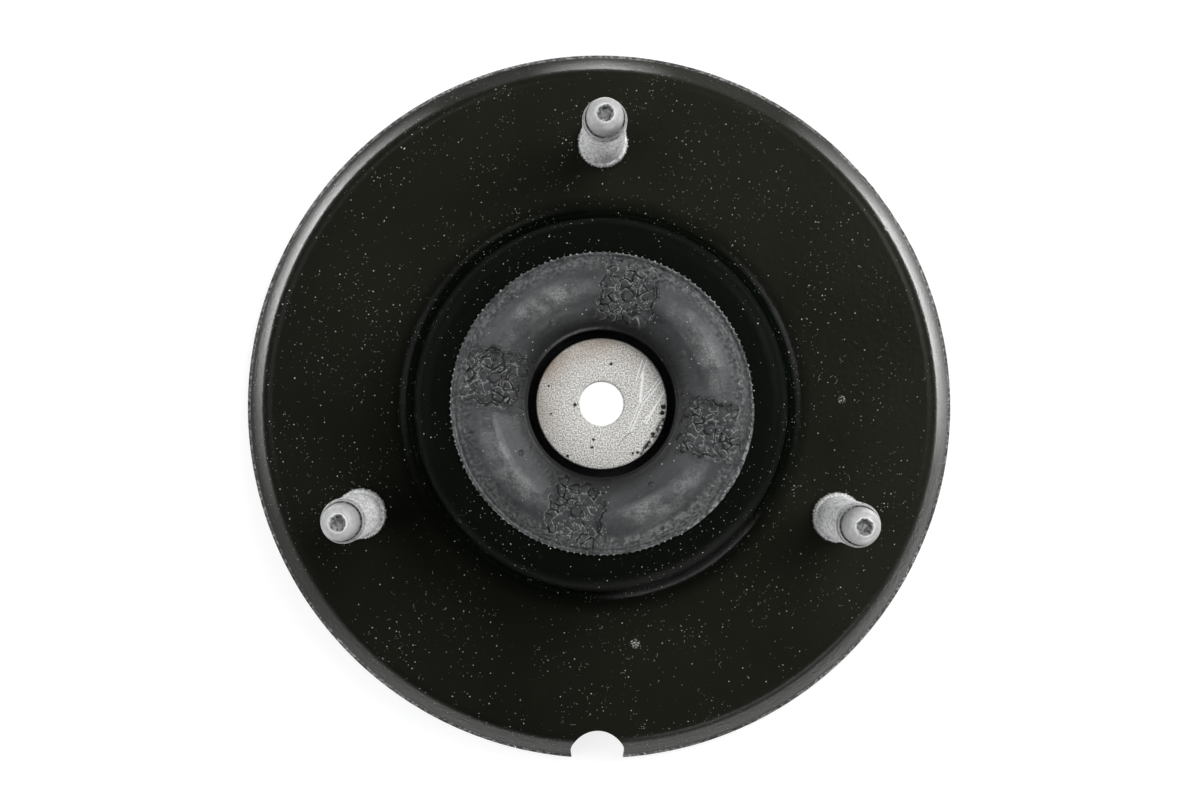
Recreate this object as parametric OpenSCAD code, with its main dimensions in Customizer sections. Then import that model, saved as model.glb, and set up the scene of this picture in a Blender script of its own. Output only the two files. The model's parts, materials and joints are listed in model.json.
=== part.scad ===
// Upper strut mount: a pressed steel plate with three studs, which bolts under a strut tower.
// A moulded rubber bush in the plate's raised crown carries the steel hub of the damper rod.
// Millimetres, +Z up along the rod. The rim's lowest edge lies on z = 0, the rod's axis is x = y = 0.

/* [Mounting plate] */
// Outside diameter over the trim lip
plate_d = 172; // [164:0.5:200]
// Thickness of the pressed sheet
sheet_t = 2.5; // [1.5:0.1:3]
// Height of the seat face above the lowest edge of the rim
rim_depth = 11; // [9.5:0.5:14]
// Outside radius of the bend where the rim turns down
rim_bend_r = 4; // [3.5:0.25:5]
// Slope of the rim's skirt
rim_wall_a = 57; // [50:1:75]
// Width of the flat trim lip outside its fillet
lip_w = 0.5; // [0.3:0.1:3]
// Radius of the fillet between the rim's skirt and the lip
lip_fillet_r = 0.75; // [0.5:0.25:2.5]
// Diameter of the half-round notch in the rim
notch_d = 13; // [8:0.5:18]
// Distance of the notch's centre in from the outer edge
notch_inset = 2; // [0:0.25:3]

/* [Crown] */
// Height of the crown's top above the seat face
crown_h = 18; // [14:0.5:22]
// Diameter of the opening that the rubber fills
crown_open_d = 68.2; // [66:0.2:72]
// Width of the flat ring around the opening
crown_ring_w = 4; // [2:0.25:6]
// Outside radius of the bend at the top of the crown's wall
crown_bend_r = 4.5; // [3.5:0.25:6]
// Radius of the fillet at the foot of the crown's wall
crown_foot_r = 4.5; // [2:0.25:6]
// Slope of the crown's wall
crown_wall_a = 82; // [70:1:88]

/* [Studs] */
// Thread diameter
stud_d = 10; // [8:1:12]
// Diameter of the circle that the studs stand on
stud_pcd = 125; // [120:0.5:132]
// Angle from the first stud to the one on either side of it
stud_side_a = 115; // [100:1:130]
// Height of the point above the seat face
stud_len = 33; // [24:0.5:45]
// Length of the pilot point above the thread
point_len = 7.4; // [5:0.1:10]
// Diameter of the pilot point
point_d = 8.2; // [6:0.1:9]
// Diameter of the serrated shank that is pressed into the plate
shank_d = 11.6; // [10.5:0.1:13]
// Length of shank that shows above the seat face
shank_show = 1.5; // [0.5:0.1:4]
// Diameter of the head under the plate
head_d = 15; // [13.5:0.5:16]
// Thickness of the head
head_h = 3; // [2:0.1:4]
// Diameter of the turning recess in the point
recess_d = 3.6; // [2:0.1:5]
// Depth of the turning recess
recess_h = 1.6; // [0.5:0.1:3]

/* [Hub insert] */
// Diameter of the disc that the rod's nut seats on
hub_d = 30; // [27:0.5:33]
// Diameter of the rod's hole
bore_d = 10.2; // [8.2:0.1:14.2]
// Thickness of the disc
disc_t = 5; // [4:0.5:8]
// Height of the whole insert
hub_h = 15; // [12:0.25:16]
// Depth of the disc's face below the crown's top
hub_drop = 4; // [2:0.25:5]
// Diameter of the pocket for the rod's shoulder
pocket_d = 21; // [17:0.5:22]
// Diameter of the flange that the rubber grips
flange_d = 46; // [40:0.5:52]
// Thickness of the flange
flange_t = 3; // [2:0.25:4]
// Bevel on the mouth of the rod's hole and on the disc's rim
hub_bevel = 0.4; // [0.2:0.1:0.8]

/* [Rubber bush] */
// Height of the lobes above the crown's top
lobe_h = 3.5; // [2:0.25:6]
// Height of the pads above the crown's top
pad_h = 1; // [0.5:0.1:1.8]
// Height of the sealing lip above the crown's top
lip_h = 0.8; // [0.3:0.1:1.5]
// Diameter of the lobes' inner ridge
ridge_d = 49.8; // [46:0.2:54]
// Width of the sealing lip around the lobes
seal_w = 1.9; // [1:0.1:3]
// Run of the slope from the lobes down to the sealing lip
lobe_fall = 1.6; // [0.8:0.1:3]
// Width of the groove around the hub's disc
groove_w = 1.8; // [0.8:0.1:2.5]
// Depth of the groove below the disc's face
groove_depth = 5; // [2:0.25:5]
// Number of lobes, and of pads between them
lobe_count = 4; // [3:1:5]
// Turn of the first pad from +X
pad_turn = 77; // [0:1:90]
// Width of a pad's floor
pad_w = 11.5; // [8:0.5:15]
// Slope of the banks that rise from a pad to the lobes beside it
bank_a = 34; // [25:1:60]
// Diameter of the gate nub on a pad
nub_d = 2.5; // [1.5:0.1:4]
// Height of the gate nub
nub_h = 0.6; // [0.3:0.1:1.2]
// Diameter of the hole under the hub's flange
throat_d = 28; // [25:0.5:32]
// Height of the bump ring that hangs through the retainer dish
bump_h = 1.5; // [0.5:0.25:2]

/* [Retainer dish] */
// Thickness of the dish
dish_t = 2; // [1.5:0.1:2.4]
// Depth of the dish's floor below its flange
dish_drop = 4; // [3:0.25:4.5]
// Diameter of the opening in the floor
dish_open_d = 42; // [38:0.5:48]
// Slope of the dish's wall
dish_wall_a = 60; // [45:1:75]
// Inside radius of the bend at the floor
dish_floor_r = 1.5; // [0.5:0.25:2]
// Outside radius of the bend at the flange
dish_bend_r = 3; // [2.5:0.25:3.5]
// Number of spot welds on the flange
weld_count = 6; // [4:1:12]
// Diameter of a spot weld's dimple
weld_d = 3; // [2:0.5:4]
// Depth of a spot weld's dimple
weld_depth = 0.4; // [0.2:0.1:0.8]

/* [Clearances] */
// Gap between a stud's head and the dish's flange
head_gap = 1; // [0.5:0.25:2]
// Gap between the rubber's foot and the bend of the dish's wall
foot_gap = 0.8; // [0.3:0.1:2]
// Gap between the bump ring and the edge of the dish's opening
bump_gap = 1; // [0.5:0.25:2]

/* [Hidden] */
$fn = 96;
// Straight steps that make up each bend
bend_steps = 8;
// Overlap of a cut past the face it opens
cut_over = 1;

// Heights of the plate's faces
seat_z = rim_depth;
under_z = seat_z - sheet_t;
crown_z = seat_z + crown_h;

// Radii of the plate and the centres of its bends, as radius and height
plate_r = plate_d / 2;
lip_r = plate_r - lip_w;
flat_r = lip_r - slope_run(rim_depth - sheet_t, rim_bend_r + lip_fillet_r, rim_wall_a);
rim_bend_c = [flat_r, seat_z - rim_bend_r];
lip_c = [lip_r, sheet_t + lip_fillet_r];
open_r = crown_open_d / 2;
ring_r = open_r + crown_ring_w;
crown_base_r = ring_r + slope_run(crown_h, crown_bend_r + crown_foot_r, crown_wall_a);
crown_bend_c = [ring_r, crown_z - crown_bend_r];
crown_foot_c = [crown_base_r, seat_z + crown_foot_r];

// Studs
stud_r = stud_pcd / 2;
stud_angles = [90, 90 + stud_side_a, 90 - stud_side_a];
tip_z = seat_z + stud_len;
thread_z = tip_z - point_len;

// Hub insert
hub_z = crown_z - hub_drop;
hub_floor_z = hub_z - hub_h;
flange_z = hub_floor_z + flange_t;
hub_r = hub_d / 2;
flange_r = flange_d / 2;
groove_z = hub_z - groove_depth;

// Retainer dish
dish_z = under_z - dish_drop;
foot_r = crown_base_r - (crown_foot_r + sheet_t) * sin(crown_wall_a);
dish_floor_c = [foot_r + foot_gap, dish_z + dish_floor_r];
dish_bend_c = [
    dish_floor_c[0] + slope_run(dish_drop, dish_bend_r + dish_floor_r, dish_wall_a),
    under_z - dish_bend_r
];
dish_open_r = dish_open_d / 2;
dish_rim_r = stud_r - head_d / 2 - head_gap;

// Rubber bush
lobe_z = crown_z + lobe_h;
pad_z = crown_z + pad_h;
lip_z = crown_z + lip_h;
ridge_r = ridge_d / 2;
groove_r = hub_r + groove_w;
lobe_foot_r = open_r - seal_w;
lobe_edge_r = lobe_foot_r - lobe_fall;
throat_r = throat_d / 2;
bump_r = dish_open_r - bump_gap;

// Horizontal run of a sheet that drops by h through two opposite bends and a sloping wall.
// r_sum is the sum of the two bends' radii on the same face, a is the wall's slope.
function slope_run(h, r_sum, a) =
    r_sum * sin(a) + (h - r_sum * (1 - cos(a))) / tan(a);

// Points of an arc about c, as radius and height
function arc(c, r, a0, a1) = [
    for (i = [0:bend_steps])
        let (a = a0 + (a1 - a0) * i / bend_steps)
        [c[0] + r * cos(a), c[1] + r * sin(a)]
];

function backwards(p) = [for (i = [len(p) - 1:-1:0]) p[i]];

// One face of the crown, from its opening to the seat; depth is measured into the sheet
function crown_face(depth) = concat(
    [[open_r, crown_z - depth]],
    arc(crown_bend_c, crown_bend_r - depth, 90, 90 - crown_wall_a),
    arc(crown_foot_c, crown_foot_r + depth, 270 - crown_wall_a, 270)
);

// One face of the whole plate, from the crown's opening to the trim lip
function plate_face(depth) = concat(
    crown_face(depth),
    arc(rim_bend_c, rim_bend_r - depth, 90, 90 - rim_wall_a),
    arc(lip_c, lip_fillet_r + depth, 270 - rim_wall_a, 270),
    [[plate_r, sheet_t - depth]]
);

// The inside of the crown that the rubber fills, from its opening down to the foot of its wall
function fill_face() = concat(
    [[open_r, crown_z - sheet_t]],
    arc(crown_bend_c, crown_bend_r - sheet_t, 90, 90 - crown_wall_a),
    [arc(crown_foot_c, crown_foot_r + sheet_t, 270 - crown_wall_a, 270)[0]]
);

// One face of the retainer dish, from the flange's rim to the floor's opening
function dish_face(depth) = concat(
    [[dish_rim_r, under_z - depth]],
    arc(dish_bend_c, dish_bend_r - depth, 90, 90 + dish_wall_a),
    arc(dish_floor_c, dish_floor_r + depth, 270 + dish_wall_a, 270),
    [[dish_open_r, dish_z - depth]]
);

// The stretch of the hub's outside that the rubber is bonded to, from the groove down to the throat
function bond_face() = concat(
    [[hub_r, groove_z]],
    [[hub_r, flange_z]],
    [[flange_r - hub_bevel, flange_z]],
    [[flange_r, flange_z - hub_bevel]],
    [[flange_r, hub_floor_z + hub_bevel]],
    [[flange_r - hub_bevel, hub_floor_z]],
    [[throat_r, hub_floor_z]]
);

// Places one copy of its children at each stud
module at_studs() {
    for (a = stud_angles)
        rotate([0, 0, a])
            translate([stud_r, 0, 0])
                children();
}

module mounting_plate() {
    color([0.03, 0.03, 0.03])
    difference() {
        rotate_extrude()
            polygon(concat(plate_face(0), backwards(plate_face(sheet_t))));
        at_studs()
            translate([0, 0, under_z - cut_over])
                cylinder(d = shank_d, h = sheet_t + 2 * cut_over);
        translate([0, notch_inset - plate_r, -cut_over])
            cylinder(d = notch_d, h = seat_z + 2 * cut_over);
    }
}

module retainer_dish() {
    weld_r = (crown_base_r + dish_rim_r) / 2;
    color([0.05, 0.05, 0.05])
    difference() {
        rotate_extrude()
            polygon(concat(dish_face(0), backwards(dish_face(dish_t))));
        for (i = [0:weld_count - 1])
            rotate([0, 0, (i + 0.5) * 360 / weld_count])
                translate([weld_r, 0, under_z - dish_t - cut_over])
                    cylinder(d = weld_d, h = weld_depth + cut_over);
    }
}

// The bush before its pads are cut: the lobes run all the way round
module bush_body() {
    rotate_extrude()
        polygon(concat(
            [
                [groove_r, groove_z],
                [groove_r, crown_z - lip_h / 2],
                [groove_r + lip_h, crown_z],
                [ridge_r, lobe_z],
                [lobe_edge_r, lobe_z],
                [lobe_foot_r, lip_z],
                [open_r - lip_h / 2, lip_z],
                [open_r, lip_z - lip_h / 2]
            ],
            fill_face(),
            [
                [foot_r, dish_z],
                [bump_r, dish_z],
                [bump_r, dish_z - bump_h],
                [throat_r, dish_z - bump_h]
            ],
            backwards(bond_face())
        ));
}

// A straight channel along +X, flat at the pad's height, whose banks rise to the lobes
module pad_channel() {
    rise = lobe_z + cut_over - pad_z;
    half = pad_w / 2;
    spread = rise / tan(bank_a);
    rotate([90, 0, 90])
        linear_extrude(height = open_r)
            polygon([
                [-half, pad_z],
                [half, pad_z],
                [half + spread, pad_z + rise],
                [-half - spread, pad_z + rise]
            ]);
}

module rubber_bush() {
    color([0.09, 0.09, 0.1]) {
        difference() {
            bush_body();
            for (i = [0:lobe_count - 1])
                rotate([0, 0, pad_turn + i * 360 / lobe_count])
                    pad_channel();
        }
        for (i = [0:lobe_count - 1])
            rotate([0, 0, pad_turn + i * 360 / lobe_count])
                translate([ridge_r, 0, pad_z - cut_over])
                    cylinder(d = nub_d, h = nub_h + cut_over);
    }
}

module hub_insert() {
    bore_r = bore_d / 2;
    pocket_r = pocket_d / 2;
    color([0.72, 0.7, 0.67])
    rotate_extrude()
        polygon(concat(
            [
                [bore_r + hub_bevel, hub_z],
                [hub_r - hub_bevel, hub_z],
                [hub_r, hub_z - hub_bevel]
            ],
            bond_face(),
            [
                [pocket_r, hub_floor_z],
                [pocket_r, hub_z - disc_t],
                [bore_r, hub_z - disc_t],
                [bore_r, hub_z - hub_bevel]
            ]
        ));
}

// One stud on the Z axis, at its height in the mount
module stud() {
    head_r = head_d / 2;
    thread_r = stud_d / 2;
    point_r = point_d / 2;
    recess_r = recess_d / 2;
    head_z = under_z - head_h;
    bevel = head_h / 5;
    neck_z = thread_z + 2 * (thread_r - point_r);
    dome_z = neck_z + (tip_z - neck_z) * 0.3;
    rotate_extrude()
        polygon(concat(
            [
                [0, head_z],
                [head_r - bevel, head_z],
                [head_r, head_z + bevel],
                [head_r, under_z],
                [shank_d / 2, under_z],
                [shank_d / 2, seat_z + shank_show],
                [thread_r, seat_z + shank_show],
                [thread_r, thread_z],
                [point_r, neck_z]
            ],
            [
                for (i = [0:bend_steps])
                    let (a = 90 * i / bend_steps)
                    [recess_r + (point_r - recess_r) * cos(a), dome_z + (tip_z - dome_z) * sin(a)]
            ],
            [
                [recess_r / 3, tip_z - recess_h],
                [0, tip_z - recess_h]
            ]
        ));
}

module mounting_studs() {
    color([0.66, 0.66, 0.65])
    at_studs()
        stud();
}

mounting_plate();
retainer_dish();
rubber_bush();
hub_insert();
mounting_studs();
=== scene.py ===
"""Dresses the strut mount: gloss black plate, rubber bush, blasted hub, zinc studs, dust and lint."""

import json
import logging
import math
from collections.abc import Sequence
from dataclasses import dataclass, field
from enum import Enum
from functools import partial, reduce
from typing import Any

import bmesh
import bpy
import numpy as np
from mathutils import Matrix, Vector


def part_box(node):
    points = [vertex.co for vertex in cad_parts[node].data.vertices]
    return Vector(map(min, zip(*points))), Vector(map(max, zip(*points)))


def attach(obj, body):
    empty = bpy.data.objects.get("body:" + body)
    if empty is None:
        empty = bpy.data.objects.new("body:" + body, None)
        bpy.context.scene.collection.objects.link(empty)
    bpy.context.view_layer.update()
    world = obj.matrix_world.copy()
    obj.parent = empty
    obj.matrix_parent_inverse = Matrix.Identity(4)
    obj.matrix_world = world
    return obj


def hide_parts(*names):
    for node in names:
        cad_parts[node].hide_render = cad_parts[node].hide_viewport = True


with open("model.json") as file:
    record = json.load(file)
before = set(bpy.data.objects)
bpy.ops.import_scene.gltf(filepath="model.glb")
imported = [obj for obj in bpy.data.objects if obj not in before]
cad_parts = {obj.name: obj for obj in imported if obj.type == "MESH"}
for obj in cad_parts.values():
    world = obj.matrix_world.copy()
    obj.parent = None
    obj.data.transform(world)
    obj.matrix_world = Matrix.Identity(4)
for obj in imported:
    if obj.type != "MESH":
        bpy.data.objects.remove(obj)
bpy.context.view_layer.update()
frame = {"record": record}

log = logging.getLogger("strut_mount")

MM = 0.001
BODY = "root"
# Attribute of the studs: painted shade in the hollows, negative for a painted glint on the burr.
PAINTED_SHADING = "grime"
# Attribute of the bush: its cracks, and painted shade on the pads' banks.
CRACK_AND_SHADE = "crack"
FLAKED = "flaked"
SHARP = 35.0
RELIEF_SHARP = 50.0
BEAD_SHARP = 60.0

Point = tuple[float, float]
Spot = tuple[float, float, float]
Colour = tuple[float, float, float, float]


class Ends(Enum):
    """How a skin through rings is closed."""

    LOOP = "the last ring joins the first"
    FANNED = "each end ring closes on its middle"


class Reach(Enum):
    """Which shading a lamp works on."""

    ALL = "matt and gloss"
    MATT = "matt only"
    GLOSS = "gloss only"


class Slot(Enum):
    """Material slots of the record."""

    PAINT = "black_paint"
    COAT = "black_coat"
    RUBBER = "rubber"
    STEEL = "bare_steel"
    ZINC = "zinc_steel"


def grey(value: float) -> Colour:
    """A neutral colour of that brightness."""
    return (value, value, value, 1.0)


def mount(name: str) -> dict[str, Any]:
    """The record's mount of that name."""
    return next(m for m in frame["record"]["mounts"] if m["name"] == name)


def arc(centre: Point, radius: float, start: float, end: float, steps: int = 14) -> list[Point]:
    """Points of an arc in a section.

    Args:
        centre: Radius and height of the arc's centre, in millimetres.
        radius: Radius of the arc, in millimetres.
        start: First angle, in degrees from the outward direction.
        end: Last angle, in degrees.
        steps: Straight steps along the arc.

    Returns:
        The points, as radius and height in millimetres.
    """
    turns = np.radians(np.linspace(start, end, steps + 1))
    return [(centre[0] + radius * math.cos(t), centre[1] + radius * math.sin(t)) for t in turns]


def revolved(profile: Sequence[Point], segments: int) -> np.ndarray:
    """Turns a section about the rod's axis.

    Args:
        profile: Radii and heights in millimetres.
        segments: Points on each ring.

    Returns:
        An array of rings, points and coordinates, in metres.
    """
    turns = np.linspace(0.0, 2.0 * math.pi, segments, endpoint=False)
    section = np.asarray(profile) * MM
    rings = np.empty((len(section), segments, 3))
    rings[..., 0] = section[:, :1] * np.cos(turns)
    rings[..., 1] = section[:, :1] * np.sin(turns)
    rings[..., 2] = section[:, 1:]
    return rings


def shade(mesh: bpy.types.Mesh, sharp: float) -> None:
    """Shades a mesh smooth, apart from edges that turn by more than sharp degrees."""
    mesh.polygons.foreach_set("use_smooth", np.ones(len(mesh.polygons), dtype=bool))
    mesh.set_sharp_from_angle(angle=math.radians(sharp))


def skin(name: str, rings: np.ndarray, ends: Ends, sharp: float = SHARP) -> bpy.types.Object:
    """Makes a closed mesh through rings of points.

    Args:
        name: Name of the piece.
        rings: Array of rings, points and coordinates, in metres.
        ends: How the skin is closed.
        sharp: Turn of an edge that still shades smooth, in degrees.

    Returns:
        The new object.
    """
    count, segments = rings.shape[:2]
    points = rings.reshape(-1, 3)
    here = np.arange(segments)
    after = np.roll(here, -1)
    rows = count if ends is Ends.LOOP else count - 1
    faces: list[list[int]] = []
    for row in range(rows):
        low = row * segments
        high = (row + 1) % count * segments
        faces += np.stack([low + here, low + after, high + after, high + here], axis=1).tolist()
    if ends is Ends.FANNED:
        tips = np.stack([rings[0].mean(axis=0), rings[-1].mean(axis=0)])
        first, last = len(points), len(points) + 1
        points = np.concatenate([points, tips])
        top = (count - 1) * segments
        faces += [[first, b, a] for a, b in zip(here.tolist(), after.tolist())]
        faces += [[last, top + a, top + b] for a, b in zip(here.tolist(), after.tolist())]
    return solid(name, points.tolist(), faces, sharp)


def flat_ring(name: str, low: float, high: float, height: float, segments: int) -> bpy.types.Object:
    """Makes an open flat ring between two radii at a height, all in millimetres."""
    points = revolved([(low, height), (high, height)], segments).reshape(-1, 3).tolist()
    here = np.arange(segments)
    after = np.roll(here, -1)
    faces = np.stack([here, segments + here, segments + after, after], axis=1).tolist()
    return solid(name, points, faces, SHARP)


def solid(name: str, points: list[list[float]], faces: list[list[int]], sharp: float) -> bpy.types.Object:
    """Makes an object from points and faces, with its normals turned outwards."""
    mesh = bpy.data.meshes.new(name)
    mesh.from_pydata(points, [], faces)
    hand = bmesh.new()
    hand.from_mesh(mesh)
    bmesh.ops.recalc_face_normals(hand, faces=hand.faces)
    hand.to_mesh(mesh)
    hand.free()
    shade(mesh, sharp)
    piece = bpy.data.objects.new(name, mesh)
    bpy.context.scene.collection.objects.link(piece)
    return piece


def mark(mesh: bpy.types.Mesh, name: str, values: np.ndarray) -> None:
    """Writes one value for each point of a mesh, for a material to read."""
    mesh.attributes.new(name, "FLOAT", "POINT").data.foreach_set("value", values)


def cover(piece: bpy.types.Object, material: bpy.types.Material) -> None:
    """Gives a piece that material and no other."""
    piece.data.materials.clear()
    piece.data.materials.append(material)


def settle(piece: bpy.types.Object) -> None:
    """Replaces an object's mesh by its evaluated one and removes its modifiers."""
    graph = bpy.context.evaluated_depsgraph_get()
    mesh = bpy.data.meshes.new_from_object(piece.evaluated_get(graph))
    piece.modifiers.clear()
    piece.data = mesh


def carve(piece: bpy.types.Object, cutters: Sequence[bpy.types.Object]) -> None:
    """Cuts each closed cutter out of a closed piece and deletes it."""
    for cutter in cutters:
        cut = piece.modifiers.new(cutter.name, "BOOLEAN")
        cut.operation = "DIFFERENCE"
        cut.solver = "EXACT"
        cut.object = cutter
    settle(piece)
    for cutter in cutters:
        bpy.data.objects.remove(cutter, do_unlink=True)
    shade(piece.data, SHARP)


def rod(name: str, radius: float, low: float, high: float, at: Point, sides: int = 96) -> bpy.types.Object:
    """Makes an upright round bar to cut with.

    Args:
        name: Name of the object.
        radius: Its radius, in millimetres.
        low: Height of its lower end, in millimetres.
        high: Height of its upper end, in millimetres.
        at: Place of its axis, in millimetres.
        sides: Faces around it.

    Returns:
        The new object.
    """
    rings = revolved([(radius, low), (radius, high)], sides)
    rings[..., :2] += np.asarray(at) * MM
    return skin(name, rings, Ends.FANNED)


def smooth_step(value: np.ndarray, low: float, high: float) -> np.ndarray:
    """A soft step from 0 at low to 1 at high."""
    t = np.clip((value - low) / (high - low), 0.0, 1.0)
    return t * t * (3.0 - 2.0 * t)


def smooth_min(a: np.ndarray, b: np.ndarray, reach: float) -> np.ndarray:
    """The lower of two heights, blended where they differ by less than reach."""
    mix = np.clip(0.5 + 0.5 * (b - a) / reach, 0.0, 1.0)
    return b * (1.0 - mix) + a * mix - reach * mix * (1.0 - mix)


class Graph:
    """A hand on a node tree, which adds nodes, sets their sockets and links them."""

    def __init__(self, tree: bpy.types.NodeTree) -> None:
        """Works on that tree."""
        self.tree = tree

    def feed(self, socket: bpy.types.NodeSocket, value: Any) -> None:
        """Links a socket to another one, or sets its value."""
        if isinstance(value, bpy.types.NodeSocket):
            self.tree.links.new(value, socket)
        else:
            socket.default_value = value

    def add(self, kind: str, sockets: dict[str | int, Any] | None = None, **settings: Any) -> bpy.types.Node:
        """Adds a node.

        Args:
            kind: Blender's name of the node type.
            sockets: What each input takes, by name or number.
            settings: Properties of the node, set before its inputs.

        Returns:
            The node.
        """
        node = self.tree.nodes.new(kind)
        for key, value in settings.items():
            setattr(node, key, value)
        for key, value in (sockets or {}).items():
            self.feed(node.inputs[key], value)
        return node

    def math(self, operation: str, *values: Any) -> bpy.types.NodeSocket:
        """A calculation on numbers."""
        node = self.add("ShaderNodeMath", dict(enumerate(values)), operation=operation)
        return node.outputs[0]

    def vector(self, operation: str, *values: Any) -> bpy.types.Node:
        """A calculation on vectors, as the whole node because its outputs differ."""
        return self.add("ShaderNodeVectorMath", dict(enumerate(values)), operation=operation)

    def times(self, *values: Any) -> bpy.types.NodeSocket:
        """The product of numbers."""
        return reduce(partial(self.math, "MULTIPLY"), values)

    def most(self, *values: Any) -> bpy.types.NodeSocket:
        """The highest of numbers."""
        return reduce(partial(self.math, "MAXIMUM"), values)

    def parts(self, vector: Any) -> Any:
        """The X, Y and Z of a vector."""
        return self.add("ShaderNodeSeparateXYZ", {0: vector}).outputs

    def reach(self, where: Any) -> bpy.types.NodeSocket:
        """Distance from the rod's axis."""
        flat = self.vector("MULTIPLY", where, (1.0, 1.0, 0.0)).outputs[0]
        return self.vector("LENGTH", flat).outputs["Value"]

    def blend(self, factor: Any, low: Any, high: Any) -> bpy.types.NodeSocket:
        """A colour from low to high as factor goes from 0 to 1."""
        node = self.add("ShaderNodeMix", {0: factor, 6: low, 7: high}, data_type="RGBA")
        return node.outputs[2]

    def span(self, value: Any, low: float, high: float, to: Point = (0.0, 1.0)) -> bpy.types.NodeSocket:
        """A value moved from the range low to high into the range to, and held there."""
        node = self.add("ShaderNodeMapRange", {0: value, 1: low, 2: high, 3: to[0], 4: to[1]})
        return node.outputs[0]

    def ramp(self, value: Any, fade: Point, to: Point = (0.0, 1.0)) -> bpy.types.NodeSocket:
        """A length moved from the range fade, in millimetres, into the range to."""
        return self.span(value, fade[0] * MM, fade[1] * MM, to)

    def noise(self, vector: Any, scale: float, detail: float = 2.0) -> bpy.types.NodeSocket:
        """Noise from 0 to 1 with features about 1 / scale metres wide."""
        sockets = {"Vector": vector, "Scale": scale, "Detail": detail, "Roughness": 0.6}
        return self.add("ShaderNodeTexNoise", sockets).outputs["Fac"]

    def random(self, low: Any, high: Any, seed: Any, kind: str = "FLOAT") -> bpy.types.NodeSocket:
        """A random value for each point.

        Args:
            low: Lowest value.
            high: Highest value.
            seed: Seed of the draw.
            kind: FLOAT, INT or FLOAT_VECTOR.

        Returns:
            The socket with the values.
        """
        at = {"FLOAT_VECTOR": (0, 1, 0), "FLOAT": (2, 3, 1), "INT": (4, 5, 2)}[kind]
        sockets = {at[0]: low, at[1]: high, "Seed": seed}
        return self.add("FunctionNodeRandomValue", sockets, data_type=kind).outputs[at[2]]


def bare_material(name: str) -> tuple[bpy.types.Material, Graph]:
    """A material without nodes, and the graph that fills it."""
    material = bpy.data.materials.new(name)
    material.use_nodes = True
    material.node_tree.nodes.clear()
    return material, Graph(material.node_tree)


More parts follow.
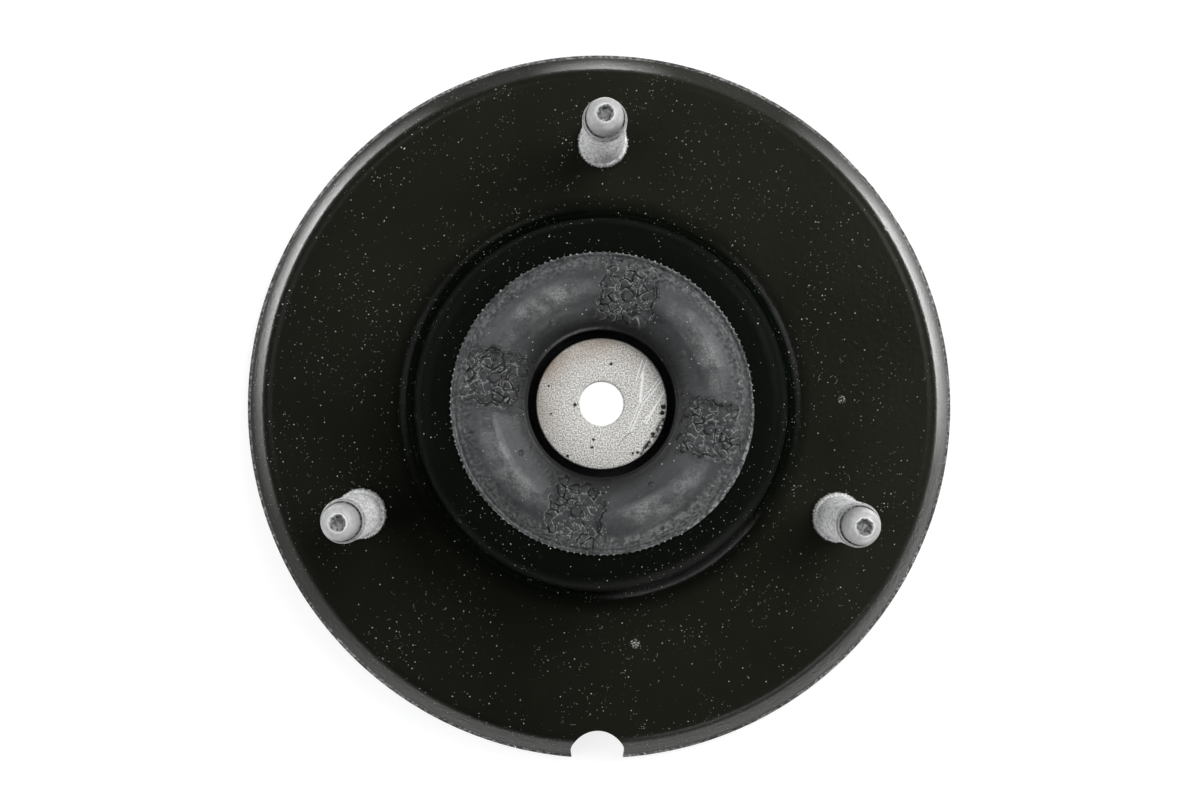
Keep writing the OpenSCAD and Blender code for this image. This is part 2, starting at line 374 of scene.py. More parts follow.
@dataclass
class Effects:
    """Shader groups that more than one finish uses, built once."""

    specks: bpy.types.NodeTree = field(init=False)
    mottle: bpy.types.NodeTree = field(init=False)
    scratch: bpy.types.NodeTree = field(init=False)
    spot: bpy.types.NodeTree = field(init=False)

    def __post_init__(self) -> None:
        """Builds the groups."""
        self.specks = self.make_specks()
        self.mottle = self.make_mottle()
        self.scratch = self.make_scratch()
        self.spot = self.make_spot()

    @staticmethod
    def start(name: str, vectors: Sequence[str], values: Sequence[str]) -> tuple[Graph, Any, Any]:
        """Starts a group with one output, Mask.

        Args:
            name: Name of the group.
            vectors: Names of its vector inputs.
            values: Names of its number inputs.

        Returns:
            The graph, the inputs by name and the socket that takes the mask.
        """
        tree = bpy.data.node_groups.new(name, "ShaderNodeTree")
        for label in vectors:
            tree.interface.new_socket(name=label, in_out="INPUT", socket_type="NodeSocketVector")
        for label in values:
            tree.interface.new_socket(name=label, in_out="INPUT", socket_type="NodeSocketFloat")
        tree.interface.new_socket(name="Mask", in_out="OUTPUT", socket_type="NodeSocketFloat")
        graph = Graph(tree)
        inputs = graph.add("NodeGroupInput").outputs
        return graph, inputs, graph.add("NodeGroupOutput").inputs["Mask"]

    def make_specks(self) -> bpy.types.NodeTree:
        """Scattered round specks of mixed sizes."""
        graph, inputs, mask = self.start("specks", ["Vector"], ["Scale", "Size", "Amount"])
        cells = graph.add("ShaderNodeTexVoronoi", {"Vector": inputs["Vector"], "Scale": inputs["Scale"]})
        lot = graph.add("ShaderNodeSeparateColor", {0: cells.outputs["Color"]}).outputs
        reach = graph.times(inputs["Size"], graph.math("MULTIPLY_ADD", lot[0], 0.7, 0.3))
        depth = graph.math("SUBTRACT", 1.0, graph.math("DIVIDE", cells.outputs["Distance"], reach))
        dot = graph.span(depth, 0.0, 0.35)
        chosen = graph.math("LESS_THAN", lot[1], inputs["Amount"])
        graph.feed(mask, graph.times(dot, chosen))
        return graph.tree

    def make_mottle(self) -> bpy.types.NodeTree:
        """Cloudy noise, sharpened by Contrast."""
        graph, inputs, mask = self.start("mottle", ["Vector"], ["Scale", "Contrast"])
        cloud = graph.noise(inputs["Vector"], 1.0, 4.0)
        graph.feed(cloud.node.inputs["Scale"], inputs["Scale"])
        swing = graph.times(graph.math("SUBTRACT", cloud, 0.5), inputs["Contrast"])
        graph.feed(mask, graph.span(graph.math("ADD", swing, 0.5), 0.0, 1.0))
        return graph.tree

    def make_scratch(self) -> bpy.types.NodeTree:
        """A straight scratch from Start to End."""
        graph, inputs, mask = self.start("scratch", ["Vector", "Start", "End"], ["Width"])
        along = graph.vector("SUBTRACT", inputs["End"], inputs["Start"]).outputs[0]
        away = graph.vector("SUBTRACT", inputs["Vector"], inputs["Start"]).outputs[0]
        length = graph.vector("DOT_PRODUCT", along, along).outputs["Value"]
        share = graph.math("DIVIDE", graph.vector("DOT_PRODUCT", away, along).outputs["Value"], length)
        reached = graph.vector("SCALE", along)
        graph.feed(reached.inputs["Scale"], graph.span(share, 0.0, 1.0))
        gap = graph.vector("DISTANCE", away, reached.outputs[0]).outputs["Value"]
        core = graph.math("SUBTRACT", 1.0, graph.math("DIVIDE", gap, inputs["Width"]))
        graph.feed(mask, graph.span(core, 0.0, 0.6))
        return graph.tree

    def make_spot(self) -> bpy.types.NodeTree:
        """A ragged spot about Centre."""
        graph, inputs, mask = self.start("spot", ["Vector", "Centre"], ["Radius"])
        gap = graph.vector("DISTANCE", inputs["Vector"], inputs["Centre"]).outputs["Value"]
        ragged = graph.span(graph.noise(inputs["Vector"], 2600.0), 0.3, 0.7, (0.55, 1.3))
        share = graph.math("DIVIDE", gap, graph.times(inputs["Radius"], ragged))
        graph.feed(mask, graph.span(graph.math("SUBTRACT", 1.0, share), 0.0, 0.3))
        return graph.tree


@dataclass(frozen=True)
class Finish:
    """What every finish shares: a material, its coordinates and its shader."""

    effects: Effects

    def start(
        self, name: str, metallic: float, specular: float
    ) -> tuple[bpy.types.Material, Graph, Any, Any]:
        """Starts a material.

        Args:
            name: Name of the material.
            metallic: Metallic value of the whole surface.
            specular: Specular level of the whole surface.

        Returns:
            The material, its graph, the object coordinates and the shader node.
        """
        material = bpy.data.materials.new(name)
        material.use_nodes = True
        graph = Graph(material.node_tree)
        shader = material.node_tree.nodes["Principled BSDF"]
        shader.inputs["Metallic"].default_value = metallic
        shader.inputs["Specular IOR Level"].default_value = specular
        where = graph.add("ShaderNodeTexCoord").outputs["Object"]
        return material, graph, where, shader

    def group(self, graph: Graph, tree: bpy.types.NodeTree, sockets: dict[str, Any]) -> bpy.types.NodeSocket:
        """Places a shared effect and gives its mask."""
        node = graph.add("ShaderNodeGroup", node_tree=tree)
        for name, value in sockets.items():
            graph.feed(node.inputs[name], value)
        return node.outputs["Mask"]

    def dust(self, graph: Graph, where: Any, scale: float, size: float, amount: Any) -> bpy.types.NodeSocket:
        """Dust specks in cells 1 / scale metres wide."""
        sockets = {"Vector": where, "Scale": scale, "Size": size, "Amount": amount}
        return self.group(graph, self.effects.specks, sockets)

    def cloud(self, graph: Graph, where: Any, scale: float, contrast: float) -> bpy.types.NodeSocket:
        """Patches about 1 / scale metres wide."""
        sockets = {"Vector": where, "Scale": scale, "Contrast": contrast}
        return self.group(graph, self.effects.mottle, sockets)

    @staticmethod
    def relief(graph: Graph, shader: Any, height: Any, depth: float) -> None:
        """Bumps the shader's normal by a height that is depth metres deep."""
        bump = graph.add("ShaderNodeBump", {"Height": height, "Distance": depth, "Strength": 1.0})
        graph.feed(shader.inputs["Normal"], bump.outputs["Normal"])


@dataclass(frozen=True)
class Speckle:
    """Dust specks of one size: cells in a metre, speck in a cell, share of the cells and strength."""

    scale: float
    size: float
    share: float
    strength: float = 1.0


@dataclass(frozen=True)
class GlossPaint(Finish):
    """Gloss black paint under dust, worn in a line along the skirt's foot; the seat's dusty film also
    carries a painted reflection, lighter towards +X and +Y.
    """

    paint: Colour = (0.0016, 0.0027, 0.0014, 1.0)
    # Dusty film on the seat; its tone also serves as a painted reflection.
    film: Colour = (0.0168, 0.0171, 0.0120, 1.0)
    dirt: Colour = (0.95, 0.93, 0.87, 1.0)
    trim: Colour = (0.14, 0.14, 0.14, 1.0)
    chip: Colour = (0.46, 0.45, 0.44, 1.0)
    worn_fade: Point = (84.95, 85.25)
    worn_rise: Point = (1.9, 2.2)
    crown_rise: Point = (14.0, 20.0)
    crown_dull: float = 0.26
    rim_fade: Point = (77.5, 79.0)
    rim_dull: float = 0.04
    seat_fade: Point = (46.0, 50.5)
    amount: float = 0.38
    least: float = 0.06
    layers: tuple[Speckle, ...] = (
        Speckle(2000.0, 0.2, 0.8, 0.6),
        Speckle(1250.0, 0.18, 0.8),
        Speckle(380.0, 0.08, 0.22),
    )
    reflection_side: Spot = (0.86, 0.5, 0.0)
    scuffs: tuple[Spot, ...] = ((8.6, -56.7, 1.3), (57.6, 1.7, 1.1), (68.5, 43.0, 0.8))

    def build(self) -> bpy.types.Material:
        """Makes the material."""
        material, graph, where, shader = self.start("gloss_black_paint", 0.0, 0.075)
        radius = graph.reach(where)
        on_seat = graph.ramp(radius, self.seat_fade)
        haze_and_reflection = graph.times(on_seat, self.haze_and_reflection(graph, where))
        specks = self.specks(graph, where)
        height = graph.parts(where)["Z"]
        foot = graph.ramp(radius, self.worn_fade)
        upper = graph.ramp(height, self.worn_rise)
        stretches = graph.span(self.cloud(graph, where, 45.0, 3.0), 0.2, 0.8, (0.45, 1.0))
        flecks = graph.span(self.cloud(graph, where, 1500.0, 7.0), 0.0, 0.6, (0.5, 1.0))
        torn = graph.times(foot, upper, stretches, flecks)
        bared = graph.span(self.cloud(graph, where, 1100.0, 8.0), 0.4, 0.8)
        edging = graph.blend(bared, self.trim, self.chip)
        # Painted reflection: the seat's film, partly dust, is lighter towards +X and +Y in place of the
        # seat's reflection.
        base = graph.blend(haze_and_reflection, self.paint, self.film)
        base = graph.blend(torn, base, edging)
        graph.feed(shader.inputs["Base Color"], graph.blend(specks, base, self.dirt))
        smear = graph.span(self.cloud(graph, where, 120.0, 2.0), 0.0, 1.0, (0.2, 0.28))
        dull = graph.math("MULTIPLY_ADD", graph.ramp(height, self.crown_rise), self.crown_dull, smear)
        dull = graph.math("MULTIPLY_ADD", graph.ramp(radius, self.rim_fade), self.rim_dull, dull)
        rough = graph.math("MULTIPLY_ADD", graph.most(specks, torn), 0.6, dull)
        graph.feed(shader.inputs["Roughness"], rough)
        peel = graph.math("MULTIPLY_ADD", specks, 0.6, graph.noise(where, 620.0))
        self.relief(graph, shader, peel, 0.0001)
        return material

    def haze_and_reflection(self, graph: Graph, where: Any) -> bpy.types.NodeSocket:
        """Share of the dusty film that lies on the seat, in clouds, rising towards +X and +Y as a painted
        reflection.
        """
        lean = graph.vector("DOT_PRODUCT", where, self.reflection_side).outputs["Value"]
        slope = graph.span(lean, -0.06, 0.05, (0.6, 1.0))
        clouds = graph.span(self.cloud(graph, where, 16.0, 2.4), 0.0, 1.0, (0.62, 1.08))
        return graph.times(slope, clouds)

    def specks(self, graph: Graph, where: Any) -> bpy.types.NodeSocket:
        """Dust specks of three sizes in drifts, and a few pale scuffs."""
        drifts = self.cloud(graph, where, 70.0, 7.0)
        crowd = graph.math("MULTIPLY_ADD", drifts, self.amount, self.least)
        total: Any = 0.0
        for layer in self.layers:
            dots = self.dust(graph, where, layer.scale, layer.size, graph.times(crowd, layer.share))
            total = graph.most(total, graph.times(dots, layer.strength))
        grain = graph.span(self.cloud(graph, where, 1900.0, 6.0), 0.4, 1.0, (0.0, 0.5))
        flat = graph.vector("MULTIPLY", where, (1.0, 1.0, 0.0)).outputs[0]
        for x, y, size in self.scuffs:
            sockets = {"Vector": flat, "Centre": (x * MM, y * MM, 0.0), "Radius": size * MM}
            rub = graph.times(self.group(graph, self.effects.spot, sockets), grain)
            total = graph.most(total, rub)
        return total


@dataclass(frozen=True)
class DipCoat(Finish):
    """Satin black dip coat of the hidden dish."""

    coat: Colour = (0.012, 0.012, 0.012, 1.0)
    worn: Colour = (0.028, 0.027, 0.026, 1.0)

    def build(self) -> bpy.types.Material:
        """Makes the material."""
        material, graph, where, shader = self.start("satin_black_coat", 0.0, 0.4)
        patches = self.cloud(graph, where, 60.0, 2.5)
        specks = self.dust(graph, where, 700.0, 0.16, 0.25)
        base = graph.blend(patches, self.coat, self.worn)
        graph.feed(shader.inputs["Base Color"], graph.blend(specks, base, grey(0.2)))
        graph.feed(shader.inputs["Roughness"], graph.span(patches, 0.0, 1.0, (0.34, 0.5)))
        self.relief(graph, shader, graph.noise(where, 900.0), 0.00003)
        return material


@dataclass(frozen=True)
class MouldedRubber(Finish):
    """Satin moulded rubber: bloom, pores, sooty cracks and pale flakes, with painted sheen on the crests, a
    painted highlight on the lip and beside the cracks, and painted shade near the hub and on the pads'
    banks.
    """

    rubber: Colour = (0.026, 0.027, 0.028, 1.0)
    bloom: Colour = (0.070, 0.072, 0.073, 1.0)
    # Pale tone for dust and flakes, also used for painted sheen and highlights.
    pale_and_highlight: Colour = (0.32, 0.32, 0.32, 1.0)
    # Dark tone for the cracks, also used as painted shade.
    soot: Colour = (0.008, 0.008, 0.008, 1.0)
    # Radii over which the lip is paled as a painted highlight.
    lip_fade: Point = (33.75, 34.0)
    slope_fade: Point = (29.5, 31.5)
    slope_dust: float = 0.24
    # Height range and share of the painted sheen on the lobes' crests.
    crest_rise: Point = (31.5, 32.4)
    crest_sheen: float = 0.5
    # Radii and share of the painted shade on the inner slope near the hub's groove.
    shade_fade: Point = (18.2, 22.0)
    shade_share: float = 0.95

    def build(self) -> bpy.types.Material:
        """Makes the material."""
        material, graph, where, shader = self.start("moulded_rubber", 0.0, 0.5)
        patches = self.cloud(graph, where, 170.0, 2.2)
        streaks = self.cloud(graph, where, 900.0, 2.6)
        share = graph.math("MULTIPLY_ADD", streaks, 0.35, graph.times(patches, 0.65))
        base = graph.blend(share, self.rubber, self.bloom)
        radius = graph.reach(where)
        # Painted highlight: the outer lip and its beads are paled in broken patches for the glints along the
        # lip's edge.
        lip = graph.ramp(radius, self.lip_fade)
        worn = graph.times(lip, graph.span(self.cloud(graph, where, 700.0, 5.0), 0.25, 0.8))
        height = graph.parts(where)["Z"]
        # Painted sheen: the paler band where the lobes stand highest stands in for the satin highlight along
        # their crests, broken by drag and grit.
        crest = graph.ramp(height, self.crest_rise, (0.0, self.crest_sheen))
        drag = graph.span(self.cloud(graph, where, 240.0, 4.0), 0.2, 0.9, (0.3, 1.0))
        grit = graph.span(self.cloud(graph, where, 2100.0, 5.0), 0.0, 1.0, (0.45, 1.25))
        painted_sheen = graph.times(crest, drag, grit)
        slope = graph.ramp(radius, self.slope_fade, (0.0, self.slope_dust))
        dusty = graph.times(slope, graph.span(self.cloud(graph, where, 1300.0, 6.0), 0.3, 0.85))
        base = graph.blend(graph.most(worn, painted_sheen, dusty), base, self.pale_and_highlight)
        # Painted shade: the rubber darkens towards the groove round the hub.
        grime = graph.ramp(radius, self.shade_fade, (self.shade_share, 0.0))
        base = graph.blend(grime, base, self.soot)
        # The crack attribute darkens the cracks and also paints shade on the pads' banks.
        crack = graph.add("ShaderNodeAttribute", attribute_name=CRACK_AND_SHADE).outputs["Fac"]
        base = graph.blend(graph.span(crack, 0.1, 0.7, (0.0, 0.85)), base, self.soot)
        flaked = graph.add("ShaderNodeAttribute", attribute_name=FLAKED).outputs["Fac"]
        base = graph.blend(graph.times(flaked, 0.2), base, self.soot)
        # Painted highlight: the pebbles' edges beside the cracks are paled in broken stretches; pale flakes
        # are scattered on the pads as well.
        beside = graph.times(graph.span(crack, 0.01, 0.1), graph.span(crack, 0.4, 0.2))
        broken = graph.span(self.cloud(graph, where, 800.0, 5.0), 0.25, 0.75)
        crack_edge_highlight = graph.times(beside, broken, flaked)
        flakes = self.dust(graph, where, 1700.0, 0.4, graph.times(flaked, 0.4))
        base = graph.blend(graph.times(graph.most(crack_edge_highlight, flakes), 0.75), base, self.pale_and_highlight)
        specks = self.dust(graph, where, 1100.0, 0.2, 0.16)
        graph.feed(shader.inputs["Base Color"], graph.blend(specks, base, grey(0.45)))
        graph.feed(shader.inputs["Roughness"], graph.span(share, 0.0, 1.0, (0.3, 0.48)))
        pores = graph.math("MULTIPLY_ADD", graph.noise(where, 3200.0, 3.0), 0.5, graph.noise(where, 1100.0))
        rough = graph.times(flaked, graph.noise(where, 1600.0, 3.0))
        self.relief(graph, shader, graph.math("MULTIPLY_ADD", rough, 2.2, pores), 0.0001)
        return material


@dataclass(frozen=True)
class Scratch:
    """A scratch on the hub's disc, in millimetres from its centre."""

    start: Point
    end: Point
    width: float
    bright: bool = True


@dataclass(frozen=True)
class BlastedSteel(Finish):
    """Blasted bare steel: salt and pepper grain, brown tarnish at the rim, scratches and black flecks."""

    face_z: float = 25.0
    brown_fade: Point = (8.25, 15.0)
    pale: Colour = (0.93, 0.915, 0.88, 1.0)
    dark: Colour = (0.36, 0.345, 0.32, 1.0)
    tarnish: Colour = (0.36, 0.27, 0.205, 1.0)
    brown_side: Spot = (-0.5, 0.86, 0.0)
    brown_lean: Point = (-6.0, 11.0)
    pit_fade: Point = (6.0, 15.0)
    pit_share: Point = (0.08, 0.4)
    soot: Colour = (0.012, 0.011, 0.010, 1.0)
    scratches: tuple[Scratch, ...] = (
        Scratch((9.2, 10.1), (7.8, 5.3), 0.16),
        Scratch((10.3, 10.1), (8.8, 6.0), 0.16),
        Scratch((9.4, 6.9), (8.8, 0.8), 0.42),
        Scratch((14.0, 5.8), (9.4, -0.1), 0.15),
        Scratch((13.4, 6.2), (8.8, 0.3), 0.12),
        Scratch((9.4, -0.1), (6.7, -6.5), 0.15),
        Scratch((8.8, 0.3), (6.1, -6.3), 0.12),
        Scratch((6.7, -6.5), (4.4, -8.6), 0.13, False),
        Scratch((14.6, 3.7), (10.2, -4.5), 0.2),
        Scratch((14.2, 2.6), (9.7, -4.2), 0.14),
    )
    flecks: tuple[Spot, ...] = (
        (2.1, 9.1, 0.45),
        (-6.1, -0.3, 0.5),
        (-11.5, -2.4, 0.35),
        (-1.8, -8.2, 0.4),
        (-2.1, -10.0, 0.5),
        (-7.7, -12.0, 0.45),
        (-12.1, 4.0, 0.35),
        (14.1, -0.6, 0.75),
        (13.9, -2.0, 0.7),
        (7.2, -11.3, 0.4),
        (8.3, -11.1, 0.45),
        (11.7, -6.8, 0.5),
    )
    torn_from: Point = (14.4, -3.6)
    torn_to: Point = (9.4, -11.4)
    torn_width: float = 1.0

    def place(self, at: Point) -> Spot:
        """A point of the disc's face, in metres."""
        return (at[0] * MM, at[1] * MM, self.face_z * MM)

    def build(self) -> bpy.types.Material:
        """Makes the material."""
        material, graph, where, shader = self.start("blasted_steel", 0.25, 0.5)
        grain = self.cloud(graph, where, 3000.0, 6.0)
        base = graph.blend(grain, self.dark, self.pale)
        pepper = self.dust(graph, where, 2300.0, 0.3, 0.4)
        base = graph.blend(graph.times(pepper, 0.55), base, self.soot)
        radius = graph.reach(where)
        outer = graph.ramp(radius, self.brown_fade)
        lean = graph.vector("DOT_PRODUCT", where, self.brown_side).outputs["Value"]
        patches = graph.span(self.cloud(graph, where, 130.0, 3.0), 0.1, 0.7, (0.35, 1.0))
        brown = graph.times(outer, patches, graph.ramp(lean, self.brown_lean))
        base = graph.blend(graph.times(brown, 0.8), base, self.tarnish)
        pits = self.dust(graph, where, 1300.0, 0.2, graph.ramp(radius, self.pit_fade, self.pit_share))
        base = graph.blend(graph.times(pits, 0.8), base, self.soot)
        base = self.marked(graph, where, base)
        graph.feed(shader.inputs["Base Color"], base)
        graph.feed(shader.inputs["Roughness"], graph.span(grain, 0.0, 1.0, (0.62, 0.46)))
        self.relief(graph, shader, grain, 0.00003)
        return material

    def marked(self, graph: Graph, where: Any, base: Any) -> bpy.types.NodeSocket:
        """Lays the scratches and the black flecks over a colour.

        Args:
            graph: The material's graph.
            where: Object coordinates.
            base: The colour under the marks.

        Returns:
            The marked colour.
        """
        for mark in self.scratches:
            ends = {"Start": self.place(mark.start), "End": self.place(mark.end), "Width": mark.width * MM}
            line = self.group(graph, self.effects.scratch, {"Vector": where} | ends)
            colour = grey(1.0) if mark.bright else grey(0.1)
            base = graph.blend(graph.times(line, 0.9), base, colour)
        for x, y, size in self.flecks:
            centre = {"Centre": self.place((x, y)), "Radius": size * MM}
            dot = self.group(graph, self.effects.spot, {"Vector": where} | centre)
            base = graph.blend(dot, base, self.soot)
        ends = {"Start": self.place(self.torn_from), "End": self.place(self.torn_to)}
        sockets = {"Vector": where, "Width": self.torn_width * MM} | ends
        edge = self.group(graph, self.effects.scratch, sockets)
        ragged = graph.span(self.cloud(graph, where, 1500.0, 5.0), 0.45, 0.6)
        return graph.blend(graph.times(edge, ragged), base, self.soot)


@dataclass(frozen=True)
class DullZinc(Finish):
    """Dull zinc plate, mottled and pitted, darker on the domes, with painted shade in the hollows and a
    painted glint on the burrs.
    """

    name: str = "dull_zinc"
    bright: Colour = (0.90, 0.90, 0.89, 1.0)
    dull: Colour = (0.68, 0.68, 0.675, 1.0)
    dome_tone: Colour = (0.28, 0.28, 0.276, 1.0)
    # Dark tone for the painted shade.
    soot: Colour = (0.03, 0.03, 0.028, 1.0)
    thread_rise: Point = (38.0, 37.2)

    def build(self) -> bpy.types.Material:
        """Makes the material."""
        material, graph, where, shader = self.start(self.name, 0.2, 0.5)
        patches = self.cloud(graph, where, 1100.0, 3.4)
        base = graph.blend(patches, self.dull, self.bright)
        height = graph.parts(where)["Z"]
        rough_part = graph.ramp(height, self.thread_rise)
        squashed = graph.vector("MULTIPLY", where, (1.0, 1.0, 3.0)).outputs[0]
        # The dome above the thread is darkened.
        base = graph.blend(graph.span(rough_part, 0.0, 1.0, (0.5, 0.0)), base, self.dome_tone)
        streaks = graph.span(self.cloud(graph, squashed, 1500.0, 7.0), 0.55, 0.9, (0.0, 0.5))
        base = graph.blend(graph.times(rough_part, streaks), base, grey(0.14))
        pits = self.dust(graph, where, 1900.0, 0.22, graph.math("MULTIPLY_ADD", rough_part, 0.35, 0.12))
        base = graph.blend(graph.times(pits, 0.7), base, grey(0.1))
        # Painted shade in the recess, the dome's groove, the thread's top step and its roots; negative
        # values paint a glint on the burr.
        grime = graph.add("ShaderNodeAttribute", attribute_name=PAINTED_SHADING).outputs["Fac"]
        ragged = graph.span(self.cloud(graph, where, 1400.0, 5.0), 0.0, 1.0, (0.25, 1.15))
        base = graph.blend(graph.span(graph.times(grime, ragged), 0.0, 1.0), base, self.soot)
        base = graph.blend(graph.span(grime, 0.0, -1.0), base, self.bright)
        graph.feed(shader.inputs["Base Color"], base)
        graph.feed(shader.inputs["Roughness"], graph.span(patches, 0.0, 1.0, (0.58, 0.44)))
        self.relief(graph, shader, graph.noise(where, 2600.0, 3.0), 0.00004)
        return material


@dataclass(frozen=True)
class PaleFibre(Finish):
    """Pale lint."""

    fibre: Colour = (0.62, 0.60, 0.56, 1.0)

    def build(self) -> bpy.types.Material:
        """Makes the material."""
        material, graph, where, shader = self.start("pale_fibre", 0.0, 0.3)
        shades = self.cloud(graph, where, 60.0, 3.0)
        graph.feed(shader.inputs["Base Color"], graph.blend(shades, grey(0.16), self.fibre))
        graph.feed(shader.inputs["Roughness"], graph.span(shades, 0.0, 1.0, (0.7, 0.9)))
        return material


class Scatter:
    """A Geometry Nodes tree with named inputs, run once on a carrier mesh and turned into a plain mesh."""

    def __init__(self, name: str) -> None:
        """Starts an empty tree that takes the carrier's mesh."""
        self.name = name
        self.tree = bpy.data.node_groups.new(name, "GeometryNodeTree")
        self.graph = Graph(self.tree)
        self.values: dict[str, Any] = {}
        self.tree.interface.new_socket(name="Carrier", in_out="INPUT", socket_type="NodeSocketGeometry")
        self.tree.interface.new_socket(name="Piece", in_out="OUTPUT", socket_type="NodeSocketGeometry")
        self.source = self.graph.add("NodeGroupInput")

    def take(self, name: str, value: int | float) -> bpy.types.NodeSocket:
        """Adds a named input of the tree with its value for this piece."""
        kind = "NodeSocketInt" if isinstance(value, int) else "NodeSocketFloat"
        item = self.tree.interface.new_socket(name=name, in_out="INPUT", socket_type=kind)
        self.values[item.identifier] = value
        return self.source.outputs[name]

    @property
    def carrier(self) -> bpy.types.NodeSocket:
        """The carrier's mesh."""
        return self.source.outputs["Carrier"]

    def run(self, result: Any, carrier: bpy.types.Object, material: bpy.types.Material) -> bpy.types.Object:
        """Ends the tree and runs it.

        Args:
            result: Socket with the instances.
            carrier: Object whose mesh the tree takes; it becomes the piece.
            material: Material of the piece.

        Returns:
            The carrier, with the plain mesh.
        """
        real = self.graph.add("GeometryNodeRealizeInstances", {"Geometry": result})
        sockets = {"Geometry": real.outputs[0], "Material": material}
        dressed = self.graph.add("GeometryNodeSetMaterial", sockets)
        self.graph.add("NodeGroupOutput", {"Piece": dressed.outputs[0]})
        step = carrier.modifiers.new(self.name, "NODES")
        step.node_group = self.tree
        for identifier, value in self.values.items():
            step[identifier] = value
        settle(carrier)
        return carrier


def points_only(name: str, points: Sequence[Sequence[float]]) -> bpy.types.Object:
    """An object of loose points, in metres, for a tree to grow pieces on."""
    mesh = bpy.data.meshes.new(name)
    mesh.from_pydata([tuple(p) for p in points], [], [])
    carrier = bpy.data.objects.new(name, mesh)
    bpy.context.scene.collection.objects.link(carrier)
    return carrier


def hand_over(piece: bpy.types.Object, slot: Slot, nodes: Sequence[str] = ()) -> None:
    """Sets a piece on the body, hides the nodes that it stands for, and reports it with its slot.

    Args:
        piece: The finished object.
        slot: Material slot of the record.
        nodes: CAD nodes that the piece replaces.
    """
    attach(piece, BODY)
    if nodes:
        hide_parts(*nodes)
    faces = sum(len(p.vertices) - 2 for p in piece.data.polygons)
    log.info("%s: %d triangles, slot %s", piece.name, faces, slot.value)


